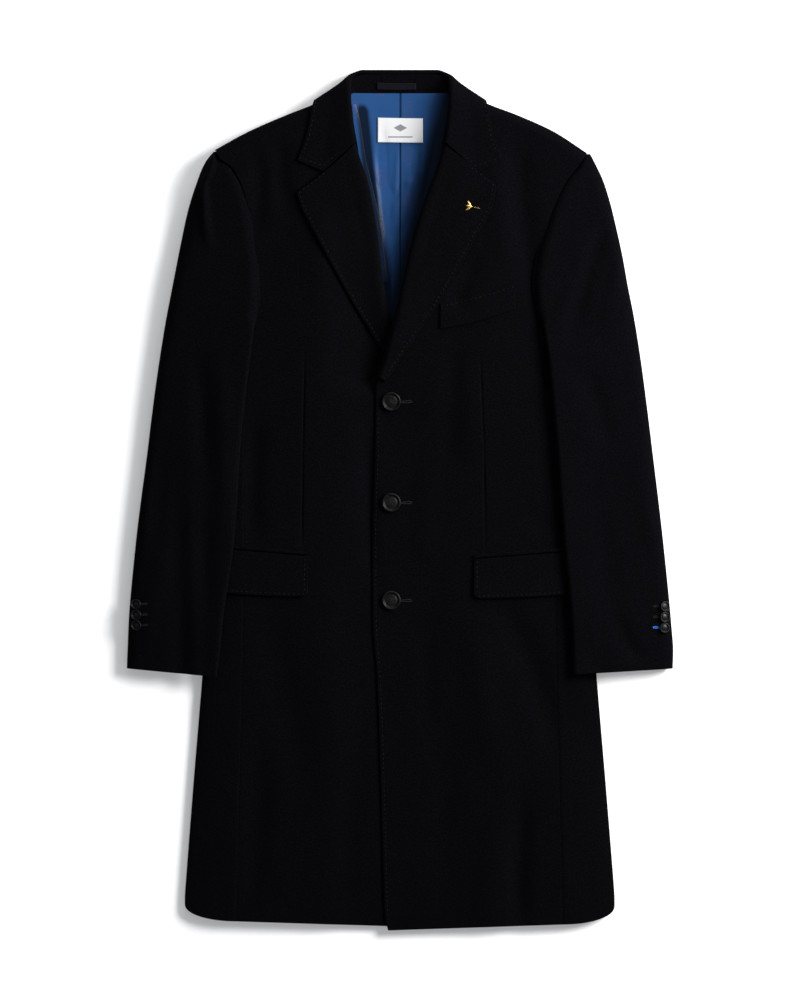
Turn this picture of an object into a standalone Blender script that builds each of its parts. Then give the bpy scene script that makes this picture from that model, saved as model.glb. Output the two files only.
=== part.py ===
"""Single-breasted three-button wool overcoat, laid flat on its back and buttoned.

Axes: +X to the wearer's left, +Y to the collar, +Z up from the table. The origin is under the middle of
the coat. Every cloth piece is a closed wall: its outer face is a surface S(u, v) worked out from the
tables below, and its inner face lies one cloth thickness behind it. Tables are in millimetres, and
"out" is the distance from the centre line towards that side's sleeve.
"""

import math
from collections import namedtuple

import bmesh
import bpy
import numpy as np
from mathutils import Matrix, Vector

MM = 0.001
SEAM_GAP = 0.3
MELTON = 2.2
FACING = 3.0
COLLAR_CLOTH = 2.6
LINING = 1.0
TRIM = 1.2
LEFT, RIGHT = 1, -1
SIDES = {"left": LEFT, "right": RIGHT}

# Length and fullness of the laid coat: height of the fronts' outer face above the table, at the front
# edge, over the chest and near the side seam.
Loft = namedtuple("Loft", "y centre chest side")
LOFT = (
    Loft(-545, 10.5, 12.0, 12.5),
    Loft(-350, 11.0, 13.5, 14.0),
    Loft(-120, 11.5, 16.0, 15.5),
    Loft(50, 12.0, 18.0, 17.0),
    Loft(98, 13.0, 20.0, 18.5),
    Loft(161, 20.4, 22.8, 20.4),
    Loft(190, 22.5, 24.5, 21.5),
    Loft(250, 24.0, 27.0, 24.0),
    Loft(350, 25.0, 29.0, 27.0),
    Loft(440, 27.0, 29.0, 28.0),
    Loft(520, 27.0, 27.0, 27.0),
)
CHEST_OUT = 110
SIDE_OUT = 190
FRONT_OVERLAP = 2.7
LAPEL_CROSSING = 11.8
SIDE_ROLL = 5.5

# The shoulder line, from the neck point to the sleeve head.
Point = namedtuple("Point", "out y")
SHOULDER = {
    LEFT: (Point(70, 517.5), Point(109, 499.5), Point(150, 483), Point(192, 463), Point(234, 432.5)),
    RIGHT: (Point(70, 517.5), Point(109, 499.8), Point(149, 484), Point(190, 465.5), Point(231.5, 441.5)),
}
SHOULDER_SEAM_TURN = 40
COLLAR_UNDER_BACK = 3.2

# The front panel: its edge (the line under the lapel's roll, then the front edge) and its outer seam
# (armhole, then side seam), from the shoulder to the hem.
Front = namedtuple("Front", "edge_out edge_y seam_out seam_y")
FRONT = {
    LEFT: (
        Front(68, 484, 211, 404),
        Front(61, 446, 196, 374),
        Front(48, 403, 184.5, 341),
        Front(35, 362, 174.5, 306),
        Front(22, 320, 170, 270),
        Front(10, 272, 171.5, 240),
        Front(1, 225, 181, 219),
        Front(-13, 180, 188, 172),
        Front(-22.5, 161, 190.2, 146),
        Front(-30.3, 143, 192.5, 120),
        Front(-31, 100, 194.5, 90),
        Front(-31.8, 59, 196.5, 59),
        Front(-34.9, -48, 195.7, -50),
        Front(-34.3, -153, 197, -150),
        Front(-29.2, -225, 198.5, -225),
        Front(-24.1, -368, 202, -368),
        Front(-19.4, -525, 205.5, -520),
        Front(-15.2, -544.2, 206, -536.5),
    ),
    RIGHT: (
        Front(68, 485, 212, 420),
        Front(62, 447, 199.5, 395),
        Front(50.5, 404, 190.5, 363),
        Front(42, 362, 184.5, 325),
        Front(35, 320, 181, 288),
        Front(28.5, 272, 180, 250),
        Front(19, 225, 187, 221),
        Front(5, 180, 191.5, 172),
        Front(-2.5, 161, 193, 146),
        Front(-9.5, 143, 194.5, 120),
        Front(-11, 100, 196, 90),
        Front(-12, 59, 197.5, 59),
        Front(-13, -48, 197, -50),
        Front(-12, -153, 198, -150),
        Front(-8, -225, 199.5, -225),
        Front(-3, -368, 203, -368),
        Front(0, -525, 206.5, -518),
        Front(0, -539.4, 207, -532.5),
    ),
}
FIRST_SIDE_ROW = 6

# The side body: its fold at the body's side and its seam on the back, beside the front's last rows.
Side = namedtuple("Side", "fold_out fold_y back_out back_y")
SIDE = {
    LEFT: (
        Side(246, 214, 172, 219),
        Side(240, 172, 172, 172),
        Side(238, 146, 172, 146),
        Side(236, 120, 172, 120),
        Side(234.7, 90, 172.5, 90),
        Side(233.5, 59, 173, 59),
        Side(236.5, -50, 176, -50),
        Side(243, -150, 180, -150),
        Side(248.9, -225, 184, -225),
        Side(261, -368, 191, -368),
        Side(271.5, -503, 198, -517),
        Side(271.5, -514.5, 199, -533),
    ),
    RIGHT: (
        Side(246, 216, 172, 221),
        Side(241, 172, 172, 172),
        Side(239, 146, 172, 146),
        Side(237, 120, 172, 120),
        Side(236, 90, 172.5, 90),
        Side(235, 59, 173, 59),
        Side(238, -50, 176, -50),
        Side(244.5, -150, 180, -150),
        Side(250.2, -225, 184, -225),
        Side(262, -368, 191, -368),
        Side(272.2, -503, 198, -515),
        Side(272.2, -512, 199, -531),
    ),
}

# The sleeve: its outer fold, its inner edge above and below (both armhole seams, then one inner fold),
# and the height of its top near the outer and the inner edge.
Sleeve = namedtuple("Sleeve", "fold_out fold_y top_out top_y under_out under_y fold_high inner_high")
SLEEVE = {
    LEFT: (
        Sleeve(239.5, 434, 234, 432.5, 235, 431, 26, 27),
        Sleeve(247.5, 421, 227, 422, 229, 420, 26, 28),
        Sleeve(255.8, 406, 211, 404, 222, 406, 26, 29),
        Sleeve(265.5, 376, 196, 374, 213, 376, 26, 31),
        Sleeve(274, 341, 184.5, 341, 207, 341, 26.5, 32),
        Sleeve(281.6, 306, 174.5, 306, 203, 306, 26, 33),
        Sleeve(288, 270, 170, 270, 198, 270, 25.5, 34),
        Sleeve(293.5, 243, 171.5, 240, 190, 242, 25, 34.5),
        Sleeve(297, 224, 178.5, 225, 178.5, 225, 24, 35),
        Sleeve(304.5, 176, 187, 176, 187, 176, 23, 34.5),
        Sleeve(312, 120, 192.5, 120, 192.5, 120, 22, 33),
        Sleeve(319.5, 59, 198, 59, 198, 59, 21, 31),
        Sleeve(332.5, -50, 206.5, -50, 206.5, -50, 19.5, 29.5),
        Sleeve(342.5, -150, 216, -150, 216, -150, 18, 28),
        Sleeve(345.5, -190, 218.3, -192, 218.3, -192, 17, 27),
        Sleeve(344.9, -213.2, 218.8, -220.5, 218.8, -220.5, 16.5, 26.5),
    ),
    RIGHT: (
        Sleeve(237, 443, 231.5, 441.5, 232.5, 440, 26, 27),
        Sleeve(243, 433, 225.2, 431, 227.5, 431, 26, 28),
        Sleeve(248.5, 422, 212, 420, 222, 422, 26, 29),
        Sleeve(258.5, 396, 199.5, 395, 213, 396, 26, 31),
        Sleeve(268.5, 363, 190.5, 363, 208, 363, 26.5, 32),
        Sleeve(276.7, 325, 184.5, 325, 204, 325, 26, 33),
        Sleeve(284, 288, 181, 288, 200, 288, 25.5, 34),
        Sleeve(291, 252, 180, 250, 193, 251, 25, 34.5),
        Sleeve(296, 226, 183, 228, 183, 228, 24, 35),
        Sleeve(303.8, 178, 189, 178, 189, 178, 23, 34.5),
        Sleeve(312, 120, 196.5, 120, 196.5, 120, 22, 33),
        Sleeve(319.5, 59, 202, 59, 202, 59, 21, 31),
        Sleeve(333.5, -50, 209.3, -50, 209.3, -50, 19.5, 29.5),
        Sleeve(342.8, -150, 223.5, -150, 223.5, -150, 18, 28),
        Sleeve(344.5, -190, 227.5, -192, 227.5, -192, 17, 27),
        Sleeve(345.4, -212.9, 231.5, -223.5, 231.5, -223.5, 16.5, 26.5),
    ),
}
ARMHOLE_ROWS = 8
SLEEVE_TOP_ROLL = 15
SLEEVE_UNDER_ROLL = 7
ARMHOLE_TURN = 52
SLEEVE_CLEARANCE = 4.4

# Long soft troughs pressed into the top sleeves: start, end, depth at the end and half width.
Trough = namedtuple("Trough", "side start_out start_y end_out end_y depth width")
TROUGHS = (
    Trough(RIGHT, 283, 150, 275, -240, 6.0, 10),
    Trough(RIGHT, 256, 230, 246, 10, 2.0, 9),
    Trough(LEFT, 300, 110, 252, -30, 2.2, 13),
)

# The turned-out lapel: its outer edge and its rolled edge, from the gorge seam to the break.
Lapel = namedtuple("Lapel", "edge_out edge_y roll_out roll_y")
LAPEL = {
    LEFT: (
        Lapel(120.7, 395.6, 54.8, 444.5),
        Lapel(119, 381, 47.5, 425),
        Lapel(114.5, 364.5, 40.6, 405.8),
        Lapel(97.3, 333.4, 28, 372),
        Lapel(74.2, 291.5, 15.2, 329.6),
        Lapel(51.6, 252.1, 4.5, 284),
        Lapel(29, 219, -4.5, 243),
        Lapel(7.5, 187, -14, 205),
        Lapel(-10, 161, -22.5, 174),
        Lapel(-18, 149, -29.6, 156),
    ),
    RIGHT: (
        Lapel(130.8, 387.1, 55.9, 446),
        Lapel(126, 372, 49, 427),
        Lapel(118, 355, 42, 407),
        Lapel(104.1, 329.6, 34, 372),
        Lapel(84, 293, 27.5, 330),
        Lapel(63.5, 255.9, 22.5, 286),
        Lapel(42.5, 221, 15, 245),
        Lapel(21.6, 187.3, 5.5, 208),
        Lapel(7, 168, -2.5, 180),
        Lapel(2.5, 158.5, -8.3, 167),
    ),
}
LAPEL_TOP_BOW = {LEFT: 0.0, RIGHT: -3.0}
LAPEL_LIFT = 3.8
LAPEL_CROWN = 2.2
LAPEL_HOOK = 8.0
HOOK_GAP = 0.5

# The collar leaf, from its front end round to the centre back: rolled edge, a line across the middle,
# outer edge, and how far its face has turned from facing up (0) to facing the table (180).
Leaf = namedtuple("Leaf", "roll_out roll_y roll_z mid_out mid_y mid_z edge_out edge_y edge_z turn roll")
LEAF = (
    Leaf(55, 449.5, 33.5, 97.5, 413.6, 32.5, 129.8, 427.8, 32, 0, 4.6),
    Leaf(59.7, 479, 33.5, 91, 468, 32.5, 117.3, 463, 32, 0, 4.6),
    Leaf(61.3, 503, 31.5, 88, 492, 31.8, 112.4, 489, 31.0, 12, 4.6),
    Leaf(62, 519, 27, 87, 507, 27.6, 110.5, 499.5, 26, 48, 4.4),
    Leaf(62, 531, 19, 85, 520.5, 17, 108.5, 505, 15.5, 90, 4.2),
    Leaf(57, 540, 10.5, 79, 517, 5.5, 101, 497, 4.5, 148, 4.0),
    Leaf(46, 544.2, 4.4, 56, 513, 0, 70, 489, 0, 180, 3.9),
    Leaf(0, 544.2, 3.9, 0, 516, 0, 0, 490, 0, 180, 3.9),
)
LEAF_RETURN = 2.0

# The collar stand: its seam to the neck and its upper line under the fold.
Stand = namedtuple("Stand", "seam_out seam_y seam_z top_out top_y top_z")
STAND = (
    Stand(0, 517.3, 7.4, 0, 537.7, 7.8),
    Stand(30, 517.3, 7.6, 30, 537.7, 7.8),
    Stand(43, 517, 9.0, 43, 537.3, 8.6),
    Stand(51, 514, 12.5, 52, 532.5, 12.5),
    Stand(55, 507, 17, 56, 524.5, 18),
)

# The linings that show in the neck: the back halves, and the strips inside each front.
BackLining = namedtuple("BackLining", "y out")
BACK_LINING = (
    BackLining(516.4, 43),
    BackLining(500, 58),
    BackLining(484, 62),
    BackLining(466, 64),
    BackLining(448, 63),
    BackLining(430, 62),
    BackLining(380, 54),
    BackLining(320, 42),
    BackLining(260, 30),
    BackLining(212, 20),
)
LINING_ABOVE_BACK = 1.1
LINING_SIDE_RISE = 4.0
FrontLining = namedtuple("FrontLining", "y hidden_out hidden_z shown_out shown_z")
FRONT_LINING = {
    LEFT: (
        FrontLining(500, 68, 19, 54, 13.5),
        FrontLining(478, 68, 19, 47, 12.5),
        FrontLining(434, 62, 18.5, 39, 12),
        FrontLining(389, 49, 17.5, 29.5, 11),
        FrontLining(345, 36, 16, 18.5, 10),
        FrontLining(300, 24, 14, 8.5, 9),
        FrontLining(262, 15, 12, 3.5, 8),
    ),
    RIGHT: (
        FrontLining(500, 68, 17, 53, 13.5),
        FrontLining(478, 68, 15, 43.5, 12.5),
        FrontLining(434, 60, 13, 39.5, 12),
        FrontLining(389, 49, 12, 33, 10.5),
        FrontLining(345, 42, 11, 24, 9.5),
        FrontLining(305, 36, 9.4, 19, 8.2),
        FrontLining(275, 32, 7.6, 14, 7.0),
    ),
}

# Pieces sewn flat on another: corners of their outline, seen from above.
Patch = namedtuple("Patch", "start_x end_x top_start top_end low_start low_end top_bow low_bow corner")
PATCHES = {
    "chest_welt": Patch(50.5, 145, 247.6, 273.2, 216, 241, -1.5, -3.0, 0),
    "flap_left": Patch(93.3, 221, -74, -64, -124.5, -118.3, 0, -1.5, 8),
    "flap_right": Patch(-117, -226, -70, -60.4, -122.5, -117.5, 0, -0.8, 8),
    "jetting_left": Patch(93.6, 221, -69.2, -59, -73.4, -63.3, 0, 0, 0),
    "jetting_right": Patch(-115.4, -226, -65.4, -55.8, -69.4, -59.8, 0, 0, 0),
    "neck_label": Patch(-28.2, 29.0, 483.4, 482.4, 452.1, 451.4, 0, 0, 0),
    "hanger_loop": Patch(-29.2, 20.3, 529.6, 529.0, 520.9, 520.6, 0, 0, 0),
}
PATCH_CLOTH = {"welt": 1.8, "flap": 2.4, "jetting": 1.2, "label": 0.8, "loop": 0.9}

# Buttons: a turned disc with a raised rim, a dished middle and four sewing holes.
Button = namedtuple("Button", "radius rim_height dish_height edge_height hole_radius hole_spread sides")
FRONT_BUTTON = Button(12.0, 4.2, 2.8, 1.6, 1.0, 2.1, 28)
CUFF_BUTTON = Button(6.5, 3.4, 2.4, 1.4, 0.6, 1.2, 18)
FRONT_BUTTON_X = -11.0
FRONT_BUTTON_Y = (124.6, -3.2, -126.7)
FRONT_BUTTON_TURN = 30
CUFF_BUTTON_OUT = {LEFT: 333.2, RIGHT: 332.2}
CUFF_BUTTON_TOP_Y = {LEFT: -134.5, RIGHT: -131.5}
CUFF_BUTTON_PITCH = 13.35
BUTTON_CLEARANCE = 0.5

PIN_CENTRE = Vector((90.5, 369.3))
PIN_LENGTH = 22.0
PIN_WIDTH = 9.5
PIN_THICKNESS = 1.6
PIN_TILT = -12

WOOL = ((0.0035, 0.0038, 0.0062, 1), 0.92, 0.0)
LINING_SILK = ((0.017, 0.09, 0.3, 1), 0.38, 0.0)
LABEL_WEAVE = ((0.85, 0.85, 0.84, 1), 0.7, 0.0)
LOOP_SATIN = ((0.02, 0.018, 0.05, 1), 0.45, 0.0)
HORN = ((0.012, 0.012, 0.013, 1), 0.28, 0.0)
GILT = ((0.75, 0.5, 0.2, 1), 0.3, 1.0)


def clear_scene():
    for obj in list(bpy.data.objects):
        bpy.data.objects.remove(obj)


def material(name, finish):
    made = bpy.data.materials.get(name) or bpy.data.materials.new(name)
    made.use_nodes = True
    shader = made.node_tree.nodes["Principled BSDF"]
    colour, roughness, metallic = finish
    shader.inputs["Base Color"].default_value = colour
    shader.inputs["Roughness"].default_value = roughness
    shader.inputs["Metallic"].default_value = metallic
    return made


def ramp(value, low, high):
    """0 below low, 1 above high and a soft S between."""
    t = np.clip((value - low) / (high - low), 0, 1)
    return t * t * (3 - 2 * t)


def glide(rows, t):
    """The table's columns at line number t, smooth between lines and never past them."""
    rows = np.asarray(rows, float)
    t = np.asarray(t, float)
    steps = np.diff(rows, axis=0)
    product = steps[:-1] * steps[1:]
    total = steps[:-1] + steps[1:]
    slope = np.zeros_like(rows)
    slope[0] = steps[0]
    slope[-1] = steps[-1]
    slope[1:-1] = np.where(product > 0, 2 * product / np.where(total == 0, 1, total), 0)
    k = np.clip(np.floor(t).astype(int), 0, len(steps) - 1)
    f = (t - k)[..., None]
    inner = rows[k] + f * slope[k] + f * f * (3 * steps[k] - 2 * slope[k] - slope[k + 1])
    return inner + f**3 * (slope[k] + slope[k + 1] - 2 * steps[k])


def by_height(table, y, column):
    """A column of a table whose rows run down the coat, read at y."""
    ys = [row[1] for row in table]
    order = np.argsort(ys)
    return np.interp(y, np.array(ys)[order], np.array([row[column] for row in table])[order])


def loft(out, y):
    """Height of the fronts' outer face."""
    ys = [row.y for row in LOFT]
    centre, chest, side = (np.interp(y, ys, [getattr(row, name) for row in LOFT])
                           for name in ("centre", "chest", "side"))
    out = np.abs(out)
    inner = centre + (chest - centre) * ramp(out, 0, CHEST_OUT)
    return inner + (side - chest) * ramp(out, CHEST_OUT, SIDE_OUT)


def front_height(side, out, y):
    """The right front lies lower where the left one laps over it, and lower still under the lapels."""
    height = loft(out, y)
    if side == LEFT:
        return height
    crossing = ramp(y, 128, 160) * (1 - 0.6 * ramp(y, 240, 330))
    drop = FRONT_OVERLAP + (LAPEL_CROSSING - FRONT_OVERLAP) * crossing
    return height - drop * (1 - ramp(out, 38, 105)) * (1 - ramp(y, 330, 404))


def body_top(side, out, y):
    """Height of the laid body's upper face, down over its side fold."""
    seams = [Point(row.seam_out, row.seam_y) for row in FRONT[side][FIRST_SIDE_ROW:]]
    folds = [Point(row.fold_out, row.fold_y) for row in SIDE[side]]
    seam = by_height(seams, y, 0)
    fold = by_height(folds, y, 0)
    reach = np.clip((out - seam) / (fold - seam), 0, 1)
    high = front_height(side, np.minimum(out, seam), y)
    return np.where(out < fold, SIDE_ROLL + (high - SIDE_ROLL) * np.sqrt(1 - reach**2), 0)


def sleeve_rest(side, out, y):
    """What the sleeve lies on: the table, and the body's side below the armhole."""
    over = np.mean([body_top(side, out - shift, y) for shift in range(8, 41, 4)], axis=0)
    clearance = SLEEVE_CLEARANCE * ramp(over, 0, 6)
    return (over + clearance) * (1 - ramp(y, 225, 240))


def troughs(side, out, y):
    """Depth of the long troughs at a place on the top sleeve."""
    depth = np.zeros_like(out + y)
    for fold in TROUGHS:
        if fold.side != side:
            continue
        along = np.clip((y - fold.start_y) / (fold.end_y - fold.start_y), 0, 1)
        centre = fold.start_out + (fold.end_out - fold.start_out) * along
        depth += fold.depth * ramp(along, 0, 1) * np.exp(-(((out - centre) / fold.width) ** 2))
    return depth


def back_height(out, y):
    """Height of the back's outer face: the table, lifted where the collar leaf lies under it."""
    return COLLAR_UNDER_BACK * ramp(y, 425, 484) * (1 - ramp(out, 112, 126))


def stack(side, out, y, z):
    out, y, z = np.broadcast_arrays(out, y, z)
    return np.stack([side * out, y, z], axis=-1).astype(float)


def shoulder_wrap(side, along, turn):
    """A point on the rounded shoulder edge: along from the neck (0) to the sleeve head (1), and turn in
    degrees from facing the table (-90) to facing up (90)."""
    count = len(SHOULDER[side]) - 1
    line = glide(SHOULDER[side], along * count)
    ahead = glide(SHOULDER[side], (along + 0.01) * count)
    heading = ahead - line
    heading /= np.linalg.norm(heading, axis=-1, keepdims=True)
    base = back_height(line[..., 0], line[..., 1])
    radius = (loft(line[..., 0], line[..., 1]) - base) / 2
    turn = np.radians(turn)
    inward = radius * (1 - np.cos(turn))
    out = line[..., 0] + heading[..., 1] * inward
    y = line[..., 1] - heading[..., 0] * inward
    return stack(side, out, y, base + radius * (1 + np.sin(turn)))


def front_face(side):
    """u runs from the front edge to the outer seam, v from the shoulder seam (0) to the hem (1)."""
    table = FRONT[side]
    turns = 2

    def face(u, v):
        line = v * (len(table) + 1)
        turn = SHOULDER_SEAM_TURN + (90 - SHOULDER_SEAM_TURN) * line / turns
        wrap = shoulder_wrap(side, u, np.minimum(turn, 90))
        row = glide(table, np.maximum(line - turns, 0))
        out = row[..., 0] + (row[..., 2] - row[..., 0]) * u
        y = row[..., 1] + (row[..., 3] - row[..., 1]) * u
        panel = stack(side, out, y, front_height(side, out, y))
        return np.where((line < turns)[..., None], wrap, panel)

    return face, len(table) + 2


def side_face(side):
    """u runs from the front seam over the side fold to the back seam, v from the underarm to the hem."""
    front = FRONT[side][FIRST_SIDE_ROW:]
    table = [(f.seam_out, f.seam_y) + tuple(s) for f, s in zip(front, SIDE[side])]

    def face(u, v):
        row = np.moveaxis(glide(table, v * (len(table) - 1)), -1, 0)
        seam_out, seam_y, fold_out, fold_y, back_out, back_y = row
        high = front_height(side, seam_out, seam_y)
        over = np.radians(90 * np.clip(u / 0.5, 0, 1))
        under = np.radians(90 + 90 * np.clip((u - 0.5) / 0.2, 0, 1))
        flat = np.clip((u - 0.7) / 0.3, 0, None)
        upper = u <= 0.5
        out = np.where(upper, seam_out + (fold_out - seam_out) * np.sin(over),
                       fold_out - SIDE_ROLL * (1 - np.sin(under)))
        out = out + (back_out - fold_out + SIDE_ROLL) * flat
        y = np.where(upper, fold_y + (seam_y - fold_y) * np.cos(over), fold_y) + (back_y - fold_y) * flat
        z = np.where(upper, SIDE_ROLL + (high - SIDE_ROLL) * np.cos(over), SIDE_ROLL * (1 + np.cos(under)))
        return stack(side, out, y, z)

    return face, len(table)


def back_face(side):
    """u runs from the centre seam to the side, v from the hem (0) to the neck and shoulder seams (1)."""
    seam = [(row.back_out, row.back_y) for row in reversed(SIDE[side])]
    armhole = [(row.under_out, row.under_y) for row in reversed(SLEEVE[side][2:ARMHOLE_ROWS])]
    table = seam + armhole
    neck = SHOULDER[side][0].out / SHOULDER[side][-1].out
    flat = len(table) - 1
    wraps = 4
    level = seam[-1][1]
    inset_y = armhole[-1][1]

    def top_line(u, turn):
        """Where the panel's last flat row or a row of the shoulder wrap lies."""
        along = np.clip((u - neck) / (1 - neck), 0, 1)
        wrap = shoulder_wrap(side, along, turn)
        stretch = (turn + 90) / (SHOULDER_SEAM_TURN + 90)
        out = SHOULDER[side][0].out * u / neck
        plain = stack(side, out, 503 + 14 * stretch, back_height(out, 503 + 14 * stretch))
        blend = ramp(u, neck * 0.55, neck)[..., None]
        return plain * (1 - blend) + wrap * blend

    def face(u, v):
        line = v * (flat + wraps)
        row = glide(table, np.minimum(line, flat))
        lowest = top_line(u, np.full_like(line, -90.0))
        rise = np.clip((row[..., 1] - level) / (inset_y - level), 0, 1)
        out = row[..., 0] * u
        y = row[..., 1] + (lowest[..., 1] - row[..., 1]) * rise * np.clip((1 - u) * 6, 0, 1)
        panel = stack(side, out, y, back_height(out, y))
        turn = -90 + (SHOULDER_SEAM_TURN + 90) * np.clip((line - flat) / wraps, 0, None)
        return np.where((line <= flat)[..., None], panel, top_line(u, np.maximum(turn, -90)))

    return face, flat + wraps + 1


def sleeve_section(side, row, u, upper):
    """A point of the sleeve's ring: u runs from the outer fold (0) over or under it to the inner edge (1)."""
    fold_out, fold_y, top_out, top_y, under_out, under_y, fold_high, inner_high = np.moveaxis(row, -1, 0)
    inner_out, inner_y = (top_out, top_y) if upper else (under_out, under_y)
    width = fold_out - inner_out
    roll = np.minimum(SLEEVE_TOP_ROLL if upper else SLEEVE_UNDER_ROLL, width * 0.42)
    inner_half = (inner_high - sleeve_rest(side, inner_out + 4, inner_y)) / 2
    inner_roll = np.minimum(roll, inner_half * 1.2)
    first = np.clip(u / 0.3, None, 1)
    last = np.clip((u - 0.7) / 0.3, 0, None)
    closing = 90 + (ARMHOLE_TURN - 90) * ramp(fold_y, 228, 242)
    start = np.radians(90 * first)
    end = np.radians(closing * last)
    middle = np.clip((u - 0.3) / 0.4, 0, 1)
    run = width - roll - inner_roll * np.sin(np.radians(closing))
    across = roll * (1 - np.cos(start)) + run * middle + inner_roll * np.sin(end)
    share = across / width
    out = fold_out - across
    y = fold_y + (inner_y - fold_y) * share
    rise = np.sin(start) * np.cos(end)
    high = fold_high + (inner_high - fold_high) * share
    if upper:
        high = high - troughs(side, out, y)
    rest = sleeve_rest(side, out, y)
    middle_z = (rest + fold_high + (inner_high - fold_high) * share) / 2
    target = high if upper else rest
    return stack(side, out, y, middle_z + (target - middle_z) * rise)


def sleeve_face(side, upper):
    table = SLEEVE[side]

    def face(u, v):
        return sleeve_section(side, glide(table, v * (len(table) - 1)), u, upper)

    return face, len(table)


def rolled(outer, inner, edge_turn, normal, radius, u, hook):
    """A cloth edge rolled back on itself. u runs from the outer edge (0) to the roll (0.6), round it (0.85)
    and along the part turned under (1)."""
    heading = inner - outer
    length = np.linalg.norm(heading, axis=-1, keepdims=True)
    heading = heading / length
    centre = inner - heading * radius
    across = np.clip(u / 0.6, None, 1)[..., None]
    turn = np.radians(90 - 180 * np.clip((u - 0.6) / 0.25, 0, 1))[..., None]
    back = np.clip((u - 0.85) / 0.15, 0, None)[..., None]
    arc = centre + radius * (np.cos(turn) * heading + np.sin(turn) * normal) - heading * hook * back
    crown = centre + radius * normal
    flat = edge_turn + (crown - edge_turn) * across
    return np.where((u <= 0.6)[..., None], flat, arc)


def lapel_face(side):
    """v runs from the gorge seam to the break."""
    table = LAPEL[side]

    def face(u, v):
        row = glide(table, v * (len(table) - 1))
        edge = row[..., 0:2]
        roll = row[..., 2:4]
        bow = LAPEL_TOP_BOW[side] * np.clip(1 - v * 9, 0, 1)
        length = np.linalg.norm(roll - edge, axis=-1)
        size = ramp(length, 4, 40)
        back = (edge - roll) / length[..., None]
        places = [roll + back * reach for reach in (0, 4, 8, 12, 16)]
        under = np.min([front_height(side, p[..., 0], p[..., 1]) for p in places], axis=0)
        under = under - MELTON - HOOK_GAP - FACING
        over = front_height(side, roll[..., 0], roll[..., 1]) + LAPEL_LIFT + LAPEL_CROWN * size
        radius = np.minimum((over - under) / 2, length * 0.44)[..., None]
        zero = np.zeros_like(length)
        up = np.stack([zero, zero, zero + 1], axis=-1)
        inner = np.stack([roll[..., 0], roll[..., 1], over - radius[..., 0]], axis=-1)
        outer = np.stack([edge[..., 0], edge[..., 1], over - radius[..., 0]], axis=-1)
        points = rolled(outer, inner, outer, up, radius, u, LAPEL_HOOK * size[..., None])
        share = np.clip(u / 0.6, None, 1)
        bowed = points[..., 1] + 4 * bow * share * (1 - share)
        lift = LAPEL_LIFT + LAPEL_CROWN * size * ramp(share, 0, 1)
        lying = front_height(side, points[..., 0], bowed) + lift
        blend = ramp(share, 0.75, 1)
        z = np.where(u <= 0.6, lying * (1 - blend) + over * blend, points[..., 2])
        return stack(side, points[..., 0], bowed, z)

    return face, len(table)


def leaf_face():
    """v runs from the left front end (0) round the back to the right front end (1)."""
    last = len(LEAF) - 1

    def face(u, v):
        line = np.abs(v * 2 - 1) * last
        side = np.where(v <= 0.5, LEFT, RIGHT)
        row = glide(LEAF, last - line)
        roll, mid, edge = row[..., 0:3], row[..., 3:6], row[..., 6:9]
        turn = np.radians(row[..., 9])
        radius = row[..., 10:11]
        heading = (roll - edge) * (1, 1, 0)
        heading = heading / np.linalg.norm(heading, axis=-1, keepdims=True)
        zero = np.zeros_like(turn)
        outward = np.stack([-heading[..., 1], heading[..., 0], zero], axis=-1)
        outward = outward * np.where(outward[..., 1:2] < 0, -1, 1)
        up = np.stack([zero, zero, zero + 1], axis=-1)
        normal = np.cos(turn)[..., None] * up + np.sin(turn)[..., None] * outward
        centre = roll - heading * radius
        crown = centre + radius * normal
        first = np.clip(u / 0.3, 0, 1)[..., None]
        second = np.clip((u - 0.3) / 0.3, 0, 1)[..., None]
        flat = edge + (mid - edge) * first + (crown - mid) * second
        angle = np.radians(90 - 180 * np.clip((u - 0.6) / 0.25, 0, 1))[..., None]
        back = np.clip((u - 0.85) / 0.15, 0, None)[..., None] * LEAF_RETURN
        arc = centre + radius * (np.cos(angle) * heading + np.sin(angle) * normal) - heading * back
        point = np.where((u <= 0.6)[..., None], flat, arc)
        return np.stack([side * point[..., 0], point[..., 1], point[..., 2]], axis=-1)

    return face


def stand_face(u, v):
    """u runs up the band, v from the wearer's left end round to the right end."""
    last = len(STAND) - 1
    row = glide(STAND, np.abs(v * 2 - 1) * last)
    point = row[..., 0:3] + (row[..., 3:6] - row[..., 0:3]) * u[..., None]
    side = np.where(v <= 0.5, LEFT, RIGHT)
    return np.stack([side * point[..., 0], point[..., 1], point[..., 2]], axis=-1)


def lining_height(out, y):
    return back_height(out, y) + MELTON + LINING_ABOVE_BACK + LINING + LINING_SIDE_RISE * (out / 62) ** 2


def back_lining_face(side):
    def face(u, v):
        row = glide(BACK_LINING, v * (len(BACK_LINING) - 1))
        out = row[..., 1] * u
        return stack(side, out, row[..., 0], lining_height(out, row[..., 0]))

    return face, len(BACK_LINING)


def front_lining_face(side):
    table = FRONT_LINING[side]

    def face(u, v):
        row = glide(table, v * (len(table) - 1))
        out = row[..., 1] + (row[..., 3] - row[..., 1]) * u
        z = row[..., 2] + (row[..., 4] - row[..., 2]) * u**2
        return stack(side, out, row[..., 0], z)

    return face, len(table)


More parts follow.
